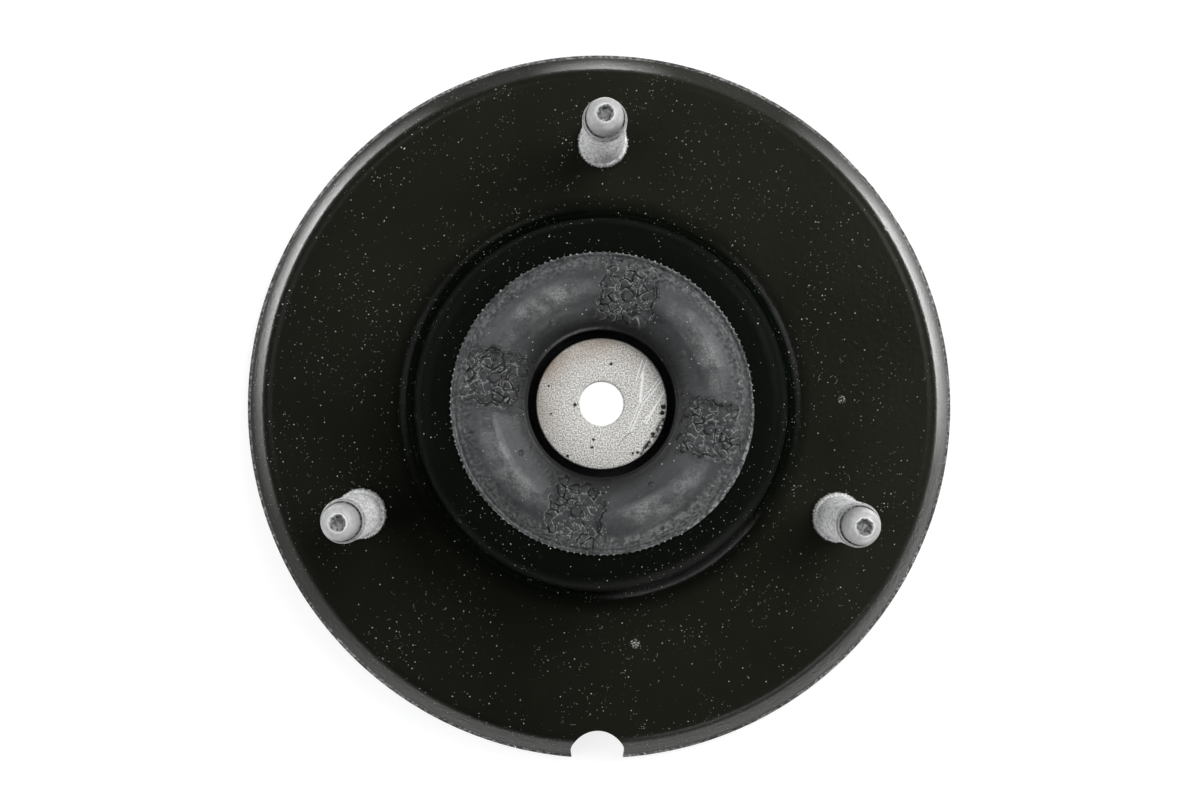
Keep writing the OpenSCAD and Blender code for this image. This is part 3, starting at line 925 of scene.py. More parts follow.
@dataclass
class MountingPlate:
    """The pressed plate: crown, seat ring, sloping skirt with a notch, and a rough trimmed edge."""

    paint: bpy.types.Material
    sheet: float = 2.5
    rim_bend: float = 4.0
    rim_slope: float = 57.0
    lip: float = 0.36
    lip_fillet: float = 0.4
    trim: float = 0.35
    inset: float = 0.015
    notch_radius: float = 6.5
    notch_inset: float = 2.0
    opening: float = 34.1
    ring: float = 4.0
    crown_bend: float = 4.5
    crown_foot: float = 4.5
    crown_slope: float = 82.0
    shank: float = 5.8
    segments: int = 480
    fray_turn: float = 40.0
    fray_spread: float = 8.0
    fray_least: float = 0.02
    fray_most: float = 0.2
    fray_depth: float = 0.6
    nick_turn: float = 256.6
    nick_width: float = 0.35
    nick_depth: float = 1.1
    seed: int = 7

    def __post_init__(self) -> None:
        """Takes the overall sizes from the frame, in millimetres."""
        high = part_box("mounting_plate")[1]
        self.radius: float = high[0] / MM - self.inset
        self.top: float = high[2] / MM
        self.seat: float = mount("tower_seat")["pos_m"][2] / MM

    @staticmethod
    def run(drop: float, bends: float, slope: float) -> float:
        """Horizontal run of a sheet that drops through two opposite bends and a slope."""
        a = math.radians(slope)
        return bends * math.sin(a) + (drop - bends * (1.0 - math.cos(a))) / math.tan(a)

    @property
    def ring_edge(self) -> float:
        """Radius at which the crown's flat ring turns down."""
        return self.opening + self.ring

    @property
    def crown_base(self) -> float:
        """Radius at which the crown's foot meets the seat."""
        bends = self.crown_bend + self.crown_foot
        return self.ring_edge + self.run(self.top - self.seat, bends, self.crown_slope)

    @property
    def flat_edge(self) -> float:
        """Radius at which the seat turns down into the skirt."""
        drop = self.seat - self.sheet
        return self.radius - self.lip - self.run(drop, self.rim_bend + self.lip_fillet, self.rim_slope)

    def face(self, depth: float) -> list[Point]:
        """One face of the sheet, from the crown's opening to the lip.

        Args:
            depth: Distance of the face into the sheet.

        Returns:
            Radii and heights in millimetres.
        """
        crown_at = (self.ring_edge, self.top - self.crown_bend)
        foot_at = (self.crown_base, self.seat + self.crown_foot)
        rim_at = (self.flat_edge, self.seat - self.rim_bend)
        lip_at = (self.radius - self.lip, self.sheet + self.lip_fillet)
        foot_from = 270.0 - self.crown_slope
        lip_from = 270.0 - self.rim_slope
        edge_at = (self.radius - self.trim, abs(self.sheet - depth - self.trim))
        edge_from = 90.0 if depth == 0.0 else -90.0
        return [
            (self.opening, self.top - depth),
            *arc(crown_at, self.crown_bend - depth, 90.0, 90.0 - self.crown_slope),
            *arc(foot_at, self.crown_foot + depth, foot_from, 270.0),
            *arc(rim_at, self.rim_bend - depth, 90.0, 90.0 - self.rim_slope),
            *arc(lip_at, self.lip_fillet + depth, lip_from, 270.0),
            *arc(edge_at, self.trim, edge_from, 0.0, 6),
        ]

    def build(self) -> bpy.types.Object:
        """Makes the plate, with its holes, notch, nick and ragged edge."""
        rings = revolved([*self.face(0.0), *reversed(self.face(self.sheet))], self.segments)
        self.fray(rings)
        piece = skin("plate_pressing", rings, Ends.LOOP)
        carve(piece, [*self.holes(), self.notch(), self.nick()])
        return piece

    def fray(self, rings: np.ndarray) -> None:
        """Pulls the trimmed edge in, by up to 0.02 mm in most places and 0.22 mm at the upper right."""
        draw = np.random.default_rng(self.seed)
        turns = np.degrees(np.linspace(0.0, 2.0 * math.pi, self.segments, endpoint=False))
        worst = np.exp(-(((turns - self.fray_turn) / self.fray_spread) ** 2))
        bite = draw.random(self.segments) * (self.fray_least + self.fray_most * worst) * MM
        reach = np.hypot(rings[..., 0], rings[..., 1])
        share = np.clip((reach / MM - self.radius) / self.fray_depth + 1.0, 0.0, 1.0)
        rings[..., :2] *= (1.0 - share * bite / np.maximum(reach, MM))[..., None]

    def holes(self) -> list[bpy.types.Object]:
        """Cutters for the three stud holes."""
        low, high = self.seat - 2.0 * self.sheet, self.seat + self.sheet
        places = [mount(name)["pos_m"] for name in MountingStuds.names]
        return [rod("stud_hole", self.shank, low, high, (p[0] / MM, p[1] / MM)) for p in places]

    def notch(self) -> bpy.types.Object:
        """Cutter for the half-round notch."""
        return rod("notch", self.notch_radius, -1.0, self.seat + 1.0, (0.0, self.notch_inset - self.radius))

    def nick(self) -> bpy.types.Object:
        """Cutter for the small nick in the trimmed edge."""
        turn = math.radians(self.nick_turn)
        reach = self.radius + 0.4
        at = (reach * math.cos(turn), reach * math.sin(turn))
        wedge = rod("nick", self.nick_depth, -1.0, self.sheet + 1.0, (0.0, 0.0), 3)
        squeeze = Matrix.Diagonal((1.0, self.nick_width / self.nick_depth, 1.0, 1.0))
        place = Matrix.Translation((at[0] * MM, at[1] * MM, 0.0))
        wedge.data.transform(place @ Matrix.Rotation(turn + math.pi, 4, "Z") @ squeeze)
        return wedge

    def dress(self, piece: bpy.types.Object) -> None:
        """Paints the plate and hands it over."""
        cover(piece, self.paint)
        hand_over(piece, Slot.PAINT, ["mounting_plate"])


@dataclass
class RetainerDish:
    """The welded dish under the plate, with its spot-weld dimples."""

    coat: bpy.types.Material
    thickness: float = 2.0
    drop: float = 4.0
    opening: float = 21.0
    slope: float = 60.0
    floor_bend: float = 1.5
    rim_bend: float = 3.0
    floor_edge: float = 42.32
    weld_count: int = 6
    weld_radius: float = 1.5
    weld_depth: float = 0.4
    weld_circle: float = 51.2
    segments: int = 288

    def __post_init__(self) -> None:
        """Takes the rim and the flange's height from the frame, in millimetres."""
        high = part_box("retainer_dish")[1]
        self.radius: float = high[0] / MM
        self.top: float = high[2] / MM

    def face(self, depth: float) -> list[Point]:
        """One face of the dish from its rim to its opening, depth into the sheet."""
        floor = self.top - self.drop
        reach = self.floor_edge + MountingPlate.run(self.drop, self.rim_bend + self.floor_bend, self.slope)
        rim_at = (reach, self.top - self.rim_bend)
        floor_at = (self.floor_edge, floor + self.floor_bend)
        return [
            (self.radius, self.top - depth),
            *arc(rim_at, self.rim_bend - depth, 90.0, 90.0 + self.slope),
            *arc(floor_at, self.floor_bend + depth, 270.0 + self.slope, 270.0),
            (self.opening, floor - depth),
        ]

    def build(self) -> bpy.types.Object:
        """Makes the dish."""
        rings = revolved([*self.face(0.0), *reversed(self.face(self.thickness))], self.segments)
        piece = skin("dish_pressing", rings, Ends.LOOP)
        carve(piece, [self.weld(i) for i in range(self.weld_count)])
        return piece

    def weld(self, index: int) -> bpy.types.Object:
        """Cutter for one spot weld's dimple."""
        turn = (index + 0.5) * 2.0 * math.pi / self.weld_count
        at = (self.weld_circle * math.cos(turn), self.weld_circle * math.sin(turn))
        floor = self.top - self.thickness
        return rod("weld", self.weld_radius, floor - 1.0, floor + self.weld_depth, at, 48)

    def dress(self, piece: bpy.types.Object) -> None:
        """Coats the dish and hands it over."""
        cover(piece, self.coat)
        hand_over(piece, Slot.COAT, ["retainer_dish"])


@dataclass
class RubberBush:
    """The moulded bush: four lobes, crackled pads with gate nubs, a wrinkled slope and a beaded lip."""

    rubber: bpy.types.Material
    plate: MountingPlate
    groove: float = 16.8
    groove_depth: float = 5.0
    hub_radius: float = 15.0
    ridge: float = 24.9
    lip_inner: float = 32.2
    lobe: float = 3.5
    pad: float = 1.0
    lip: float = 0.8
    section: tuple[Point, ...] = (
        (16.8, -0.6),
        (17.4, 0.0),
        (19.2, 0.55),
        (21.2, 1.45),
        (23.2, 2.7),
        (24.6, 3.4),
        (25.7, 3.55),
        (27.2, 3.35),
        (29.0, 2.75),
        (30.4, 2.1),
        (31.4, 1.2),
        (32.1, 0.8),
        (32.7, 0.85),
        (33.0, 0.2),
        (33.3, 0.2),
        (33.55, 0.8),
        (33.85, 0.7),
        (34.1, 0.1),
    )
    softness: float = 0.26
    sag: float = 0.3
    sag_fade: Point = (12.0, 38.0)
    pads: int = 4
    pad_turn: float = 77.0
    pad_width: float = 11.5
    bank: float = 64.0
    bank_foot: float = 1.2
    bank_shade: float = 0.55
    nub: float = 1.15
    nub_height: float = 0.42
    pimple: float = 0.7
    pimple_height: float = 0.38
    pimple_circle: float = 21.3
    pimple_turn: float = 32.0
    cell: float = 1.9
    cell_shift: float = 0.46
    cell_lift: Point = (-0.07, 0.08)
    pebble: float = 0.09
    crack_depth: float = 0.5
    crack_width: float = 0.14
    throat: float = 14.0
    bump_radius: float = 20.0
    bump: float = 1.5
    flange_thick: float = 3.0
    bevel: float = 0.4
    rings: int = 100
    segments: int = 720
    wrinkle: float = 0.45
    wrinkle_rows: tuple[tuple[float, float, int], ...] = ((30.9, 0.45, 260), (31.7, 0.35, 300))
    ridges: int = 130
    ridge_ring: Point = (30.2, 31.2)
    ridge_rise: Point = (0.1, 0.34)
    ridge_width: float = 0.28
    ridge_length: float = 0.7
    bead_step: float = 2.5
    bead: float = 0.3
    film_from: float = 300.0
    film_to: float = 362.0
    film_steps: int = 96
    film_section: tuple[Point, ...] = (
        (-0.05, 0.02),
        (-0.05, 0.3),
        (0.55, 0.24),
        (0.85, 0.34),
        (1.0, 0.2),
        (1.0, 0.02),
    )
    seed: int = 21

    def __post_init__(self) -> None:
        """Takes heights and the hub's flange from the frame, in millimetres."""
        hub_low, hub_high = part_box("hub_insert")
        self.hub_top: float = hub_high[2] / MM
        self.hub_floor: float = hub_low[2] / MM
        self.flange: float = hub_high[0] / MM
        self.foot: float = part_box("rubber_bush")[0][2] / MM + self.bump
        self.edge: float = self.plate.opening
        self.top: float = self.plate.top

    def relief(self, reach: np.ndarray, turn: np.ndarray) -> tuple[np.ndarray, np.ndarray, np.ndarray]:
        """Height of the top face, where it is cracked and flaked, and where its pads' banks get painted
        shade.

        Args:
            reach: Distances from the axis, in millimetres.
            turn: Angles about the axis, in radians.

        Returns:
            Heights in millimetres, then the shares of crack with the banks' painted shade, and of flaked
            skin.
        """
        lobes = self.lobes(reach)
        away = np.abs((np.degrees(turn) - self.pad_turn + 45.0) % 90.0 - 45.0)
        sink = self.sag * (1.0 - smooth_step(away, *self.sag_fade))
        lobes -= sink * np.maximum(lobes - self.pad, 0.0)
        draw = np.random.default_rng(self.seed)
        height = lobes.copy()
        pebbles, cracks, flaked = np.zeros((3, *lobes.shape))
        for index in range(self.pads):
            spin = math.radians(self.pad_turn + index * 360.0 / self.pads)
            out = reach * np.cos(turn - spin)
            side = reach * np.sin(turn - spin)
            shift = draw.uniform(0.0, 2.0 * math.pi, 2)
            ragged = 0.4 * np.sin(1.3 * out + shift[0]) + 0.15 * np.sin(3.3 * out + shift[1])
            beyond = np.maximum(np.abs(side) - self.pad_width / 2.0 - ragged, 0.0)
            rise = beyond * math.tan(math.radians(self.bank))
            channel = np.where(out > 0.0, self.pad + rise, self.lobe + 5.0)
            below = smooth_step(lobes - channel, 0.1, 0.8) * (beyond > 0.0)
            # Painted shade: the bank where a lobe drops into a pad is darkened through the crack attribute.
            shadow = self.bank_shade * below * (1.0 - smooth_step(beyond, 0.3, self.bank_foot))
            height = smooth_min(height, channel, 0.4)
            clear = smooth_step(np.hypot(out - self.ridge, side), self.nub + 0.1, self.nub + 0.5)
            crown, crack = self.crackle(out, side, draw)
            pebbles += crown * clear
            cracks = np.max([cracks, crack * clear, shadow], axis=0)
            flaked = np.maximum(flaked, (out > 0.0) * (1.0 - smooth_step(beyond, 0.6, 2.2)))
            height += self.gate(out, side)
        height += pebbles + self.wrinkles(reach, turn, draw) + self.pimples(reach, turn)
        return height, cracks, flaked * smooth_step(reach, self.groove + 1.5, self.groove + 4.0)

    def lobes(self, reach: np.ndarray) -> np.ndarray:
        """Section of the lobes all the way round, with soft corners."""
        at, to = np.array(self.section).T
        fine = np.arange(self.groove - 4.0, self.edge + 4.0, 0.05)
        line = np.interp(fine, at, to)
        spread = np.arange(-1.5, 1.51, 0.05)
        weight = np.exp(-((spread / self.softness) ** 2))
        soft = np.convolve(line, weight / weight.sum(), mode="same")
        return np.interp(reach, fine, soft)

    def crackle(self, out: np.ndarray, side: np.ndarray, draw: np.random.Generator) -> np.ndarray:
        """The pebbles and the cracks of one pad.

        Args:
            out: Distances from the axis along the pad's middle, in millimetres.
            side: Distances from the pad's middle, in millimetres.
            draw: Source of the pebbles' places.

        Returns:
            Two arrays: heights of the pebbles and their cracks in millimetres, and shares of crack.
        """
        across = np.arange(-0.75 * self.pad_width, 0.75 * self.pad_width, self.cell)
        along = np.arange(self.groove - 1.0, self.edge + 1.0, self.cell)
        centres = np.stack(np.meshgrid(along, across), axis=-1).reshape(-1, 2)
        centres = centres + draw.uniform(-self.cell_shift, self.cell_shift, centres.shape) * self.cell
        lift = draw.uniform(*self.cell_lift, len(centres))
        split = draw.uniform(0.0, 1.0, len(centres))
        shift = draw.uniform(0.0, 2.0 * math.pi, 2)
        member = np.abs(centres[:, 1]) < self.pad_width / 2.0 - 0.3
        member &= (centres[:, 0] > self.groove + 2.2) & (centres[:, 0] < self.lip_inner)
        near = (out > 0.0) & (np.abs(side) < self.pad_width)
        both = np.zeros((2, *out.shape))
        bent = out[near] + 0.22 * np.sin(1.9 * side[near] + shift[0]) + 0.06 * np.sin(5.3 * side[near])
        slid = side[near] + 0.22 * np.sin(1.7 * out[near] + shift[1]) + 0.06 * np.sin(4.7 * out[near])
        gaps = np.hypot(bent[:, None] - centres[:, 0], slid[:, None] - centres[:, 1])
        order = np.argsort(gaps, axis=1)[:, :2]
        first = np.take_along_axis(gaps, order[:, :1], axis=1)[:, 0]
        second = np.take_along_axis(gaps, order[:, 1:], axis=1)[:, 0]
        strong = 0.15 + 0.85 * split[order].mean(axis=1)
        crack = strong * np.exp(-(((second - first) / (3.2 * self.crack_width * strong)) ** 2))
        crown = self.pebble * (1.0 - (first / (0.6 * self.cell)) ** 2)
        both[0, near] = member[order[:, 0]] * (lift[order[:, 0]] + crown - self.crack_depth * crack)
        both[1, near] = member[order].all(axis=1) * crack
        return both

    def gate(self, out: np.ndarray, side: np.ndarray) -> np.ndarray:
        """The round gate nub on a pad, with the moat around it."""
        gap = np.hypot(out - self.ridge, side)
        moat = np.exp(-(((gap - self.nub - 0.22) / 0.2) ** 2))
        return self.nub_height * (1.0 - smooth_step(gap, self.nub - 0.2, self.nub)) - 0.3 * moat

    def wrinkles(self, reach: np.ndarray, turn: np.ndarray, draw: np.random.Generator) -> np.ndarray:
        """Short wrinkles on the slope between the lobes and the lip, in two rows, and radial ridges."""
        total = np.zeros_like(reach)
        for middle, width, count in self.wrinkle_rows:
            marks = draw.uniform(-1.0, 1.0, count) ** 3
            sharp = np.interp(turn, np.linspace(0.0, 2.0 * math.pi, count), marks, period=2.0 * math.pi)
            total += self.wrinkle * sharp * np.exp(-(((reach - middle) / width) ** 2))
        for _ in range(self.ridges):
            spin, middle, rise = draw.uniform(*zip((0.0, 2.0 * math.pi), self.ridge_ring, self.ridge_rise))
            side = reach * np.sin(turn - spin) / self.ridge_width
            out = (reach * np.cos(turn - spin) - middle) / self.ridge_length
            total += rise * np.exp(-(side**2) - out**2)
        return total

    def pimples(self, reach: np.ndarray, turn: np.ndarray) -> np.ndarray:
        """One small pimple in the middle of each lobe's inner slope."""
        total = np.zeros_like(reach)
        for index in range(self.pads):
            spin = math.radians(self.pimple_turn + index * 360.0 / self.pads)
            out = reach * np.cos(turn - spin) - self.pimple_circle
            gap = np.hypot(out, reach * np.sin(turn - spin))
            total += self.pimple_height * (1.0 - smooth_step(gap, 0.4 * self.pimple, self.pimple))
        return total

    def under(self) -> list[Point]:
        """Section below the top face, from the lip down the crown's inside and up the hub."""
        plate = self.plate
        foot_turn = math.radians(270.0 - plate.crown_slope)
        foot_reach = plate.crown_foot + plate.sheet
        waist = plate.crown_base + foot_reach * math.cos(foot_turn)
        waist_z = plate.seat + plate.crown_foot + foot_reach * math.sin(foot_turn)
        bend_at = (plate.ring_edge, plate.top - plate.crown_bend)
        flange_top = self.hub_floor + self.flange_thick
        return [
            (self.edge, self.top - plate.sheet),
            *arc(bend_at, plate.crown_bend - plate.sheet, 90.0, 90.0 - plate.crown_slope, 8),
            (waist, waist_z),
            (waist, self.foot),
            (self.bump_radius, self.foot),
            (self.bump_radius, self.foot - self.bump),
            (self.throat, self.foot - self.bump),
            (self.throat, self.hub_floor),
            (self.flange - self.bevel, self.hub_floor),
            (self.flange, self.hub_floor + self.bevel),
            (self.flange, flange_top - self.bevel),
            (self.flange - self.bevel, flange_top),
            (self.hub_radius, flange_top),
            (self.hub_radius, self.hub_top - self.groove_depth),
            (self.groove, self.hub_top - self.groove_depth),
        ]

    def build(self) -> bpy.types.Object:
        """Makes the bush as one closed skin."""
        reaches = np.linspace(self.groove, self.edge, self.rings)
        turns = np.linspace(0.0, 2.0 * math.pi, self.segments, endpoint=False)
        reach, turn = np.meshgrid(reaches, turns, indexing="ij")
        top = np.empty((self.rings, self.segments, 3))
        top[..., 0] = reach * np.cos(turn) * MM
        top[..., 1] = reach * np.sin(turn) * MM
        height, cracks, flaked = self.relief(reach, turn)
        top[..., 2] = (self.top + height) * MM
        under = revolved(self.under(), self.segments)
        piece = skin("bush_moulding", np.concatenate([top, under]), Ends.LOOP, RELIEF_SHARP)
        rest = np.zeros(under.shape[0] * under.shape[1])
        mark(piece.data, CRACK_AND_SHADE, np.concatenate([cracks.ravel(), rest]))
        mark(piece.data, FLAKED, np.concatenate([flaked.ravel(), rest]))
        return piece

    def beads(self) -> bpy.types.Object:
        """Makes the row of trim beads around the lip."""
        scatter = Scatter("lip_beads")
        graph = scatter.graph
        count = scatter.take("Count", round(360.0 / self.bead_step))
        radius = scatter.take("Radius", (self.edge - 0.05) * MM)
        size = scatter.take("Bead Radius", self.bead * MM)
        seed = scatter.take("Seed", self.seed)
        ring = graph.add("GeometryNodeMeshCircle", {"Vertices": count, "Radius": radius})
        ball = graph.add("GeometryNodeMeshUVSphere", {"Segments": 8, "Rings": 5, "Radius": size})
        scale = graph.random((0.6, 0.6, 0.5), (1.15, 1.3, 1.0), seed, "FLOAT_VECTOR")
        sockets = {"Points": ring.outputs[0], "Instance": ball.outputs[0], "Scale": scale}
        grown = graph.add("GeometryNodeInstanceOnPoints", sockets).outputs[0]
        raised = graph.add("GeometryNodeTransform", {"Geometry": grown})
        raised.inputs["Translation"].default_value = (0.0, 0.0, (self.top + self.lip) * MM)
        piece = scatter.run(raised.outputs[0], points_only("lip_beads", [(0.0, 0.0, 0.0)]), self.rubber)
        shade(piece.data, BEAD_SHARP)
        return piece

    def film(self) -> bpy.types.Object:
        """Makes the thin flash that lies on the crown's ring beside the lip."""
        count = self.film_steps
        turns = np.radians(np.linspace(self.film_from, self.film_to, count))
        draw = np.random.default_rng(self.seed + 1)
        fade = np.sin(np.linspace(0.0, math.pi, count)) ** 0.5
        width = 0.12 + (0.45 + 0.18 * draw.random(count)) * fade
        section = np.array(self.film_section)
        rings = np.empty((count, len(section), 3))
        for index, (turn, wide) in enumerate(zip(turns, width)):
            reach = self.edge + section[:, 0] * wide
            rings[index, :, 0] = reach * math.cos(turn) * MM
            rings[index, :, 1] = reach * math.sin(turn) * MM
            rings[index, :, 2] = (self.top + section[:, 1] * (0.6 + 0.4 * fade[index])) * MM
        return skin("lip_flash", rings, Ends.FANNED)

    def dress(self, piece: bpy.types.Object, beads: bpy.types.Object, film: bpy.types.Object) -> None:
        """Dresses the bush, its beads and its flash, and hands them over."""
        for part in (piece, beads, film):
            cover(part, self.rubber)
        hand_over(piece, Slot.RUBBER, ["rubber_bush"])
        hand_over(beads, Slot.RUBBER)
        hand_over(film, Slot.RUBBER)


@dataclass
class HubInsert:
    """The turned hub: a disc with the rod's hole, a pocket below it and the flange in the rubber."""

    steel: bpy.types.Material
    disc_radius: float = 15.0
    disc: float = 5.0
    pocket: float = 10.5
    flange_thick: float = 3.0
    bevel: float = 0.4
    segments: int = 256

    def __post_init__(self) -> None:
        """Takes heights, the flange and the hole from the frame, in millimetres."""
        low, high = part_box("hub_insert")
        self.top: float = high[2] / MM
        self.floor: float = low[2] / MM
        self.flange: float = high[0] / MM
        self.bore: float = mount("rod_bore")["dims"]["r_mm"]

    def section(self) -> list[Point]:
        """The hub's closed section, with rounded bevels."""
        rim, mouth = self.disc_radius - self.bevel, self.bore + self.bevel
        flange_top = self.floor + self.flange_thick
        return [
            *arc((mouth, self.top - self.bevel), self.bevel, 180.0, 90.0, 5),
            *arc((rim, self.top - self.bevel), self.bevel, 90.0, 0.0, 5),
            (self.disc_radius, flange_top),
            (self.flange - self.bevel, flange_top),
            (self.flange, flange_top - self.bevel),
            (self.flange, self.floor + self.bevel),
            (self.flange - self.bevel, self.floor),
            (self.pocket, self.floor),
            (self.pocket, self.top - self.disc),
            (self.bore, self.top - self.disc),
        ]

    def build(self) -> bpy.types.Object:
        """Makes the hub."""
        return skin("hub_turning", revolved(self.section(), self.segments), Ends.LOOP)

    def dress(self, piece: bpy.types.Object) -> None:
        """Gives the hub its steel and hands it over."""
        cover(piece, self.steel)
        hand_over(piece, Slot.STEEL, ["hub_insert"])


@dataclass
class MountingStuds:
    """Three press-in studs: head, serrated shank, rolled thread, pilot dome and a torn turning recess."""

    zinc: bpy.types.Material
    torn: bpy.types.Material
    seat: float
    sheet: float
    names = ("stud_back", "stud_left", "stud_right")
    pitch: float = 1.25
    thread_depth: float = 0.55
    shank: float = 5.8
    shank_show: float = 1.5
    head: float = 7.5
    head_thick: float = 3.0
    point_length: float = 7.4
    point: float = 4.1
    recess: float = 2.05
    recess_depth: float = 1.3
    burr: float = 0.18
    tear_waves: tuple[int, ...] = (2, 3, 5, 9, 14)
    tear_rows: tuple[tuple[int, float], ...] = ((6, 0.05), (5, 0.12), (4, 0.2), (3, 0.34), (2, 0.5))
    teeth: int = 46
    tooth: Spot = (0.5, 0.36, 1.2)
    ring_step: float = 0.13
    segments: int = 64
    seed: int = 5

    def __post_init__(self) -> None:
        """Takes the tip and the thread's radius from the frame, in millimetres."""
        self.tip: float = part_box("mounting_studs")[1][2] / MM
        self.thread: float = mount(self.names[0])["dims"]["r_mm"]

    def stem(self) -> list[Point]:
        """Section below the thread, from the head's middle to the shank's shoulder."""
        under = self.seat - self.sheet
        low = under - self.head_thick
        bevel = self.head_thick / 5.0
        return [
            (0.3, low),
            (self.head - bevel, low),
            (self.head, low + bevel),
            (self.head, under),
            (self.shank, under),
            (self.shank, self.seat + self.shank_show - 0.25),
            (self.shank - 0.25, self.seat + self.shank_show),
        ]

    def pilot(self) -> list[Point]:
        """Section of the pilot point above the thread, down into the recess."""
        thread_top = self.tip - self.point_length
        neck = thread_top + 2.0 * (self.thread - self.point)
        shoulder = neck + (self.tip - neck) * 0.3
        turns = np.radians(np.linspace(0.0, 90.0, 13))
        crown = [
            (
                self.recess + (self.point - self.recess) * math.cos(t),
                shoulder + (self.tip - self.burr - shoulder) * math.sin(t),
            )
            for t in turns
        ]
        return [
            (self.thread - 0.06, thread_top + 0.1),
            (self.thread - 0.14, thread_top + 0.35),
            (self.thread - 0.34, thread_top + 0.35),
            (self.thread - 0.28, thread_top + 0.6),
            (self.thread - 0.42, neck - 0.4),
            (self.point + 0.38, neck - 0.1),
            (self.point + 0.3, neck - 0.6),
            (self.point - 0.05, neck - 0.6),
            *crown,
            (self.recess - 0.1, self.tip),
            (self.recess - 0.25, self.tip - 0.25),
            (self.recess - 0.55, self.tip - 0.8),
            (self.recess - 0.95, self.tip - self.recess_depth),
            (0.3, self.tip - self.recess_depth),
        ]

    def rings(self, draw: np.random.Generator) -> np.ndarray:
        """Rings of one stud on the Z axis, in metres, with its thread and its own torn recess."""
        low = self.seat + self.shank_show
        high = self.tip - self.point_length
        heights = np.arange(low, high, self.ring_step)
        thread = revolved([(self.thread, z) for z in heights], self.segments)
        turns = np.linspace(0.0, 1.0, self.segments, endpoint=False)
        phase = (heights[:, None] - low) / self.pitch - turns[None, :]
        wave = np.abs((phase % 1.0) * 2.0 - 1.0)
        fade = smooth_step(high - heights, 0.0, 1.2) * smooth_step(heights - low, 0.0, 0.8)
        cut = self.thread_depth * np.clip(wave * 1.25 - 0.12, 0.0, 1.0) * fade[:, None]
        thread[..., :2] *= (1.0 - cut / self.thread)[..., None]
        pilot = revolved(self.pilot(), self.segments)
        self.tear(pilot, draw)
        return np.concatenate([revolved(self.stem(), self.segments), thread, pilot])

    def tear(self, pilot: np.ndarray, draw: np.random.Generator) -> None:
        """Makes the recess's rim ragged."""
        turns = np.linspace(0.0, 2.0 * math.pi, self.segments, endpoint=False)
        waves = [(k, draw.uniform(0.0, 2.0 * math.pi), draw.uniform(0.4, 1.0)) for k in self.tear_waves]
        ragged = sum(size * np.cos(k * turns + shift) for k, shift, size in waves) / len(waves)
        for back, strength in self.tear_rows:
            pilot[-back, :, :2] *= (1.0 + strength * ragged)[:, None]
            pilot[-back, :, 2] -= 0.4 * strength * (1.0 + np.roll(ragged, 7)) * MM

    def build(self) -> bpy.types.Object:
        """Makes the three studs as one piece of separate solids."""
        draw = np.random.default_rng(self.seed)
        studs = []
        for name in self.names:
            x, y, _ = mount(name)["pos_m"]
            rings = self.rings(draw)
            rings[..., 0] += x
            rings[..., 1] += y
            studs.append(skin(name, rings, Ends.FANNED, RELIEF_SHARP))
        piece = self.joined(studs)
        self.paint_shading(piece.data)
        return piece

    def paint_shading(self, mesh: bpy.types.Mesh) -> None:
        """Marks painted shade in the recess, around the dome, at the thread's top and between the threads,
        and the burr below zero as a painted glint.
        """
        points = np.empty(len(mesh.vertices) * 3)
        mesh.vertices.foreach_get("co", points)
        points = points.reshape(-1, 3) / MM
        axes = np.array([mount(name)["pos_m"][:2] for name in self.names]) / MM
        reach = np.hypot(*(points[:, None, :2] - axes).transpose(2, 0, 1)).min(axis=1)
        neck = self.tip - self.point_length + 2.0 * (self.thread - self.point)
        sunk = self.tip - points[:, 2]
        recess = smooth_step(sunk, 0.25, 0.7) * (reach < self.recess + 0.2)
        recess *= 1.0 - 0.35 * smooth_step(sunk, 1.0, 1.3)
        recess *= points[:, 2] > self.tip - 1.5 * self.recess_depth
        groove = (np.abs(points[:, 2] - neck + 0.6) < 0.15) & (reach < self.point + 0.34)
        thread = (points[:, 2] < neck - 2.2) & (points[:, 2] > self.seat + self.shank_show + 0.3)
        roots = thread * smooth_step(self.thread - reach, 0.15, self.thread_depth) * 0.5
        step = np.abs(points[:, 2] - (self.tip - self.point_length + 0.35)) < 0.05
        burr = (sunk < 0.3) & (reach < self.recess + 0.15)
        mark(mesh, PAINTED_SHADING, np.max([recess, groove * 0.8, step * 0.6, roots], axis=0) - burr)

    @staticmethod
    def joined(studs: Sequence[bpy.types.Object]) -> bpy.types.Object:
        """Gathers the studs' meshes in one object."""
        hand = bmesh.new()
        for stud in studs:
            hand.from_mesh(stud.data)
        mesh = bpy.data.meshes.new("studs_turned")
        hand.to_mesh(mesh)
        hand.free()
        shade(mesh, RELIEF_SHARP)
        for stud in studs:
            bpy.data.objects.remove(stud, do_unlink=True)
        piece = bpy.data.objects.new("studs_turned", mesh)
        bpy.context.scene.collection.objects.link(piece)
        return piece

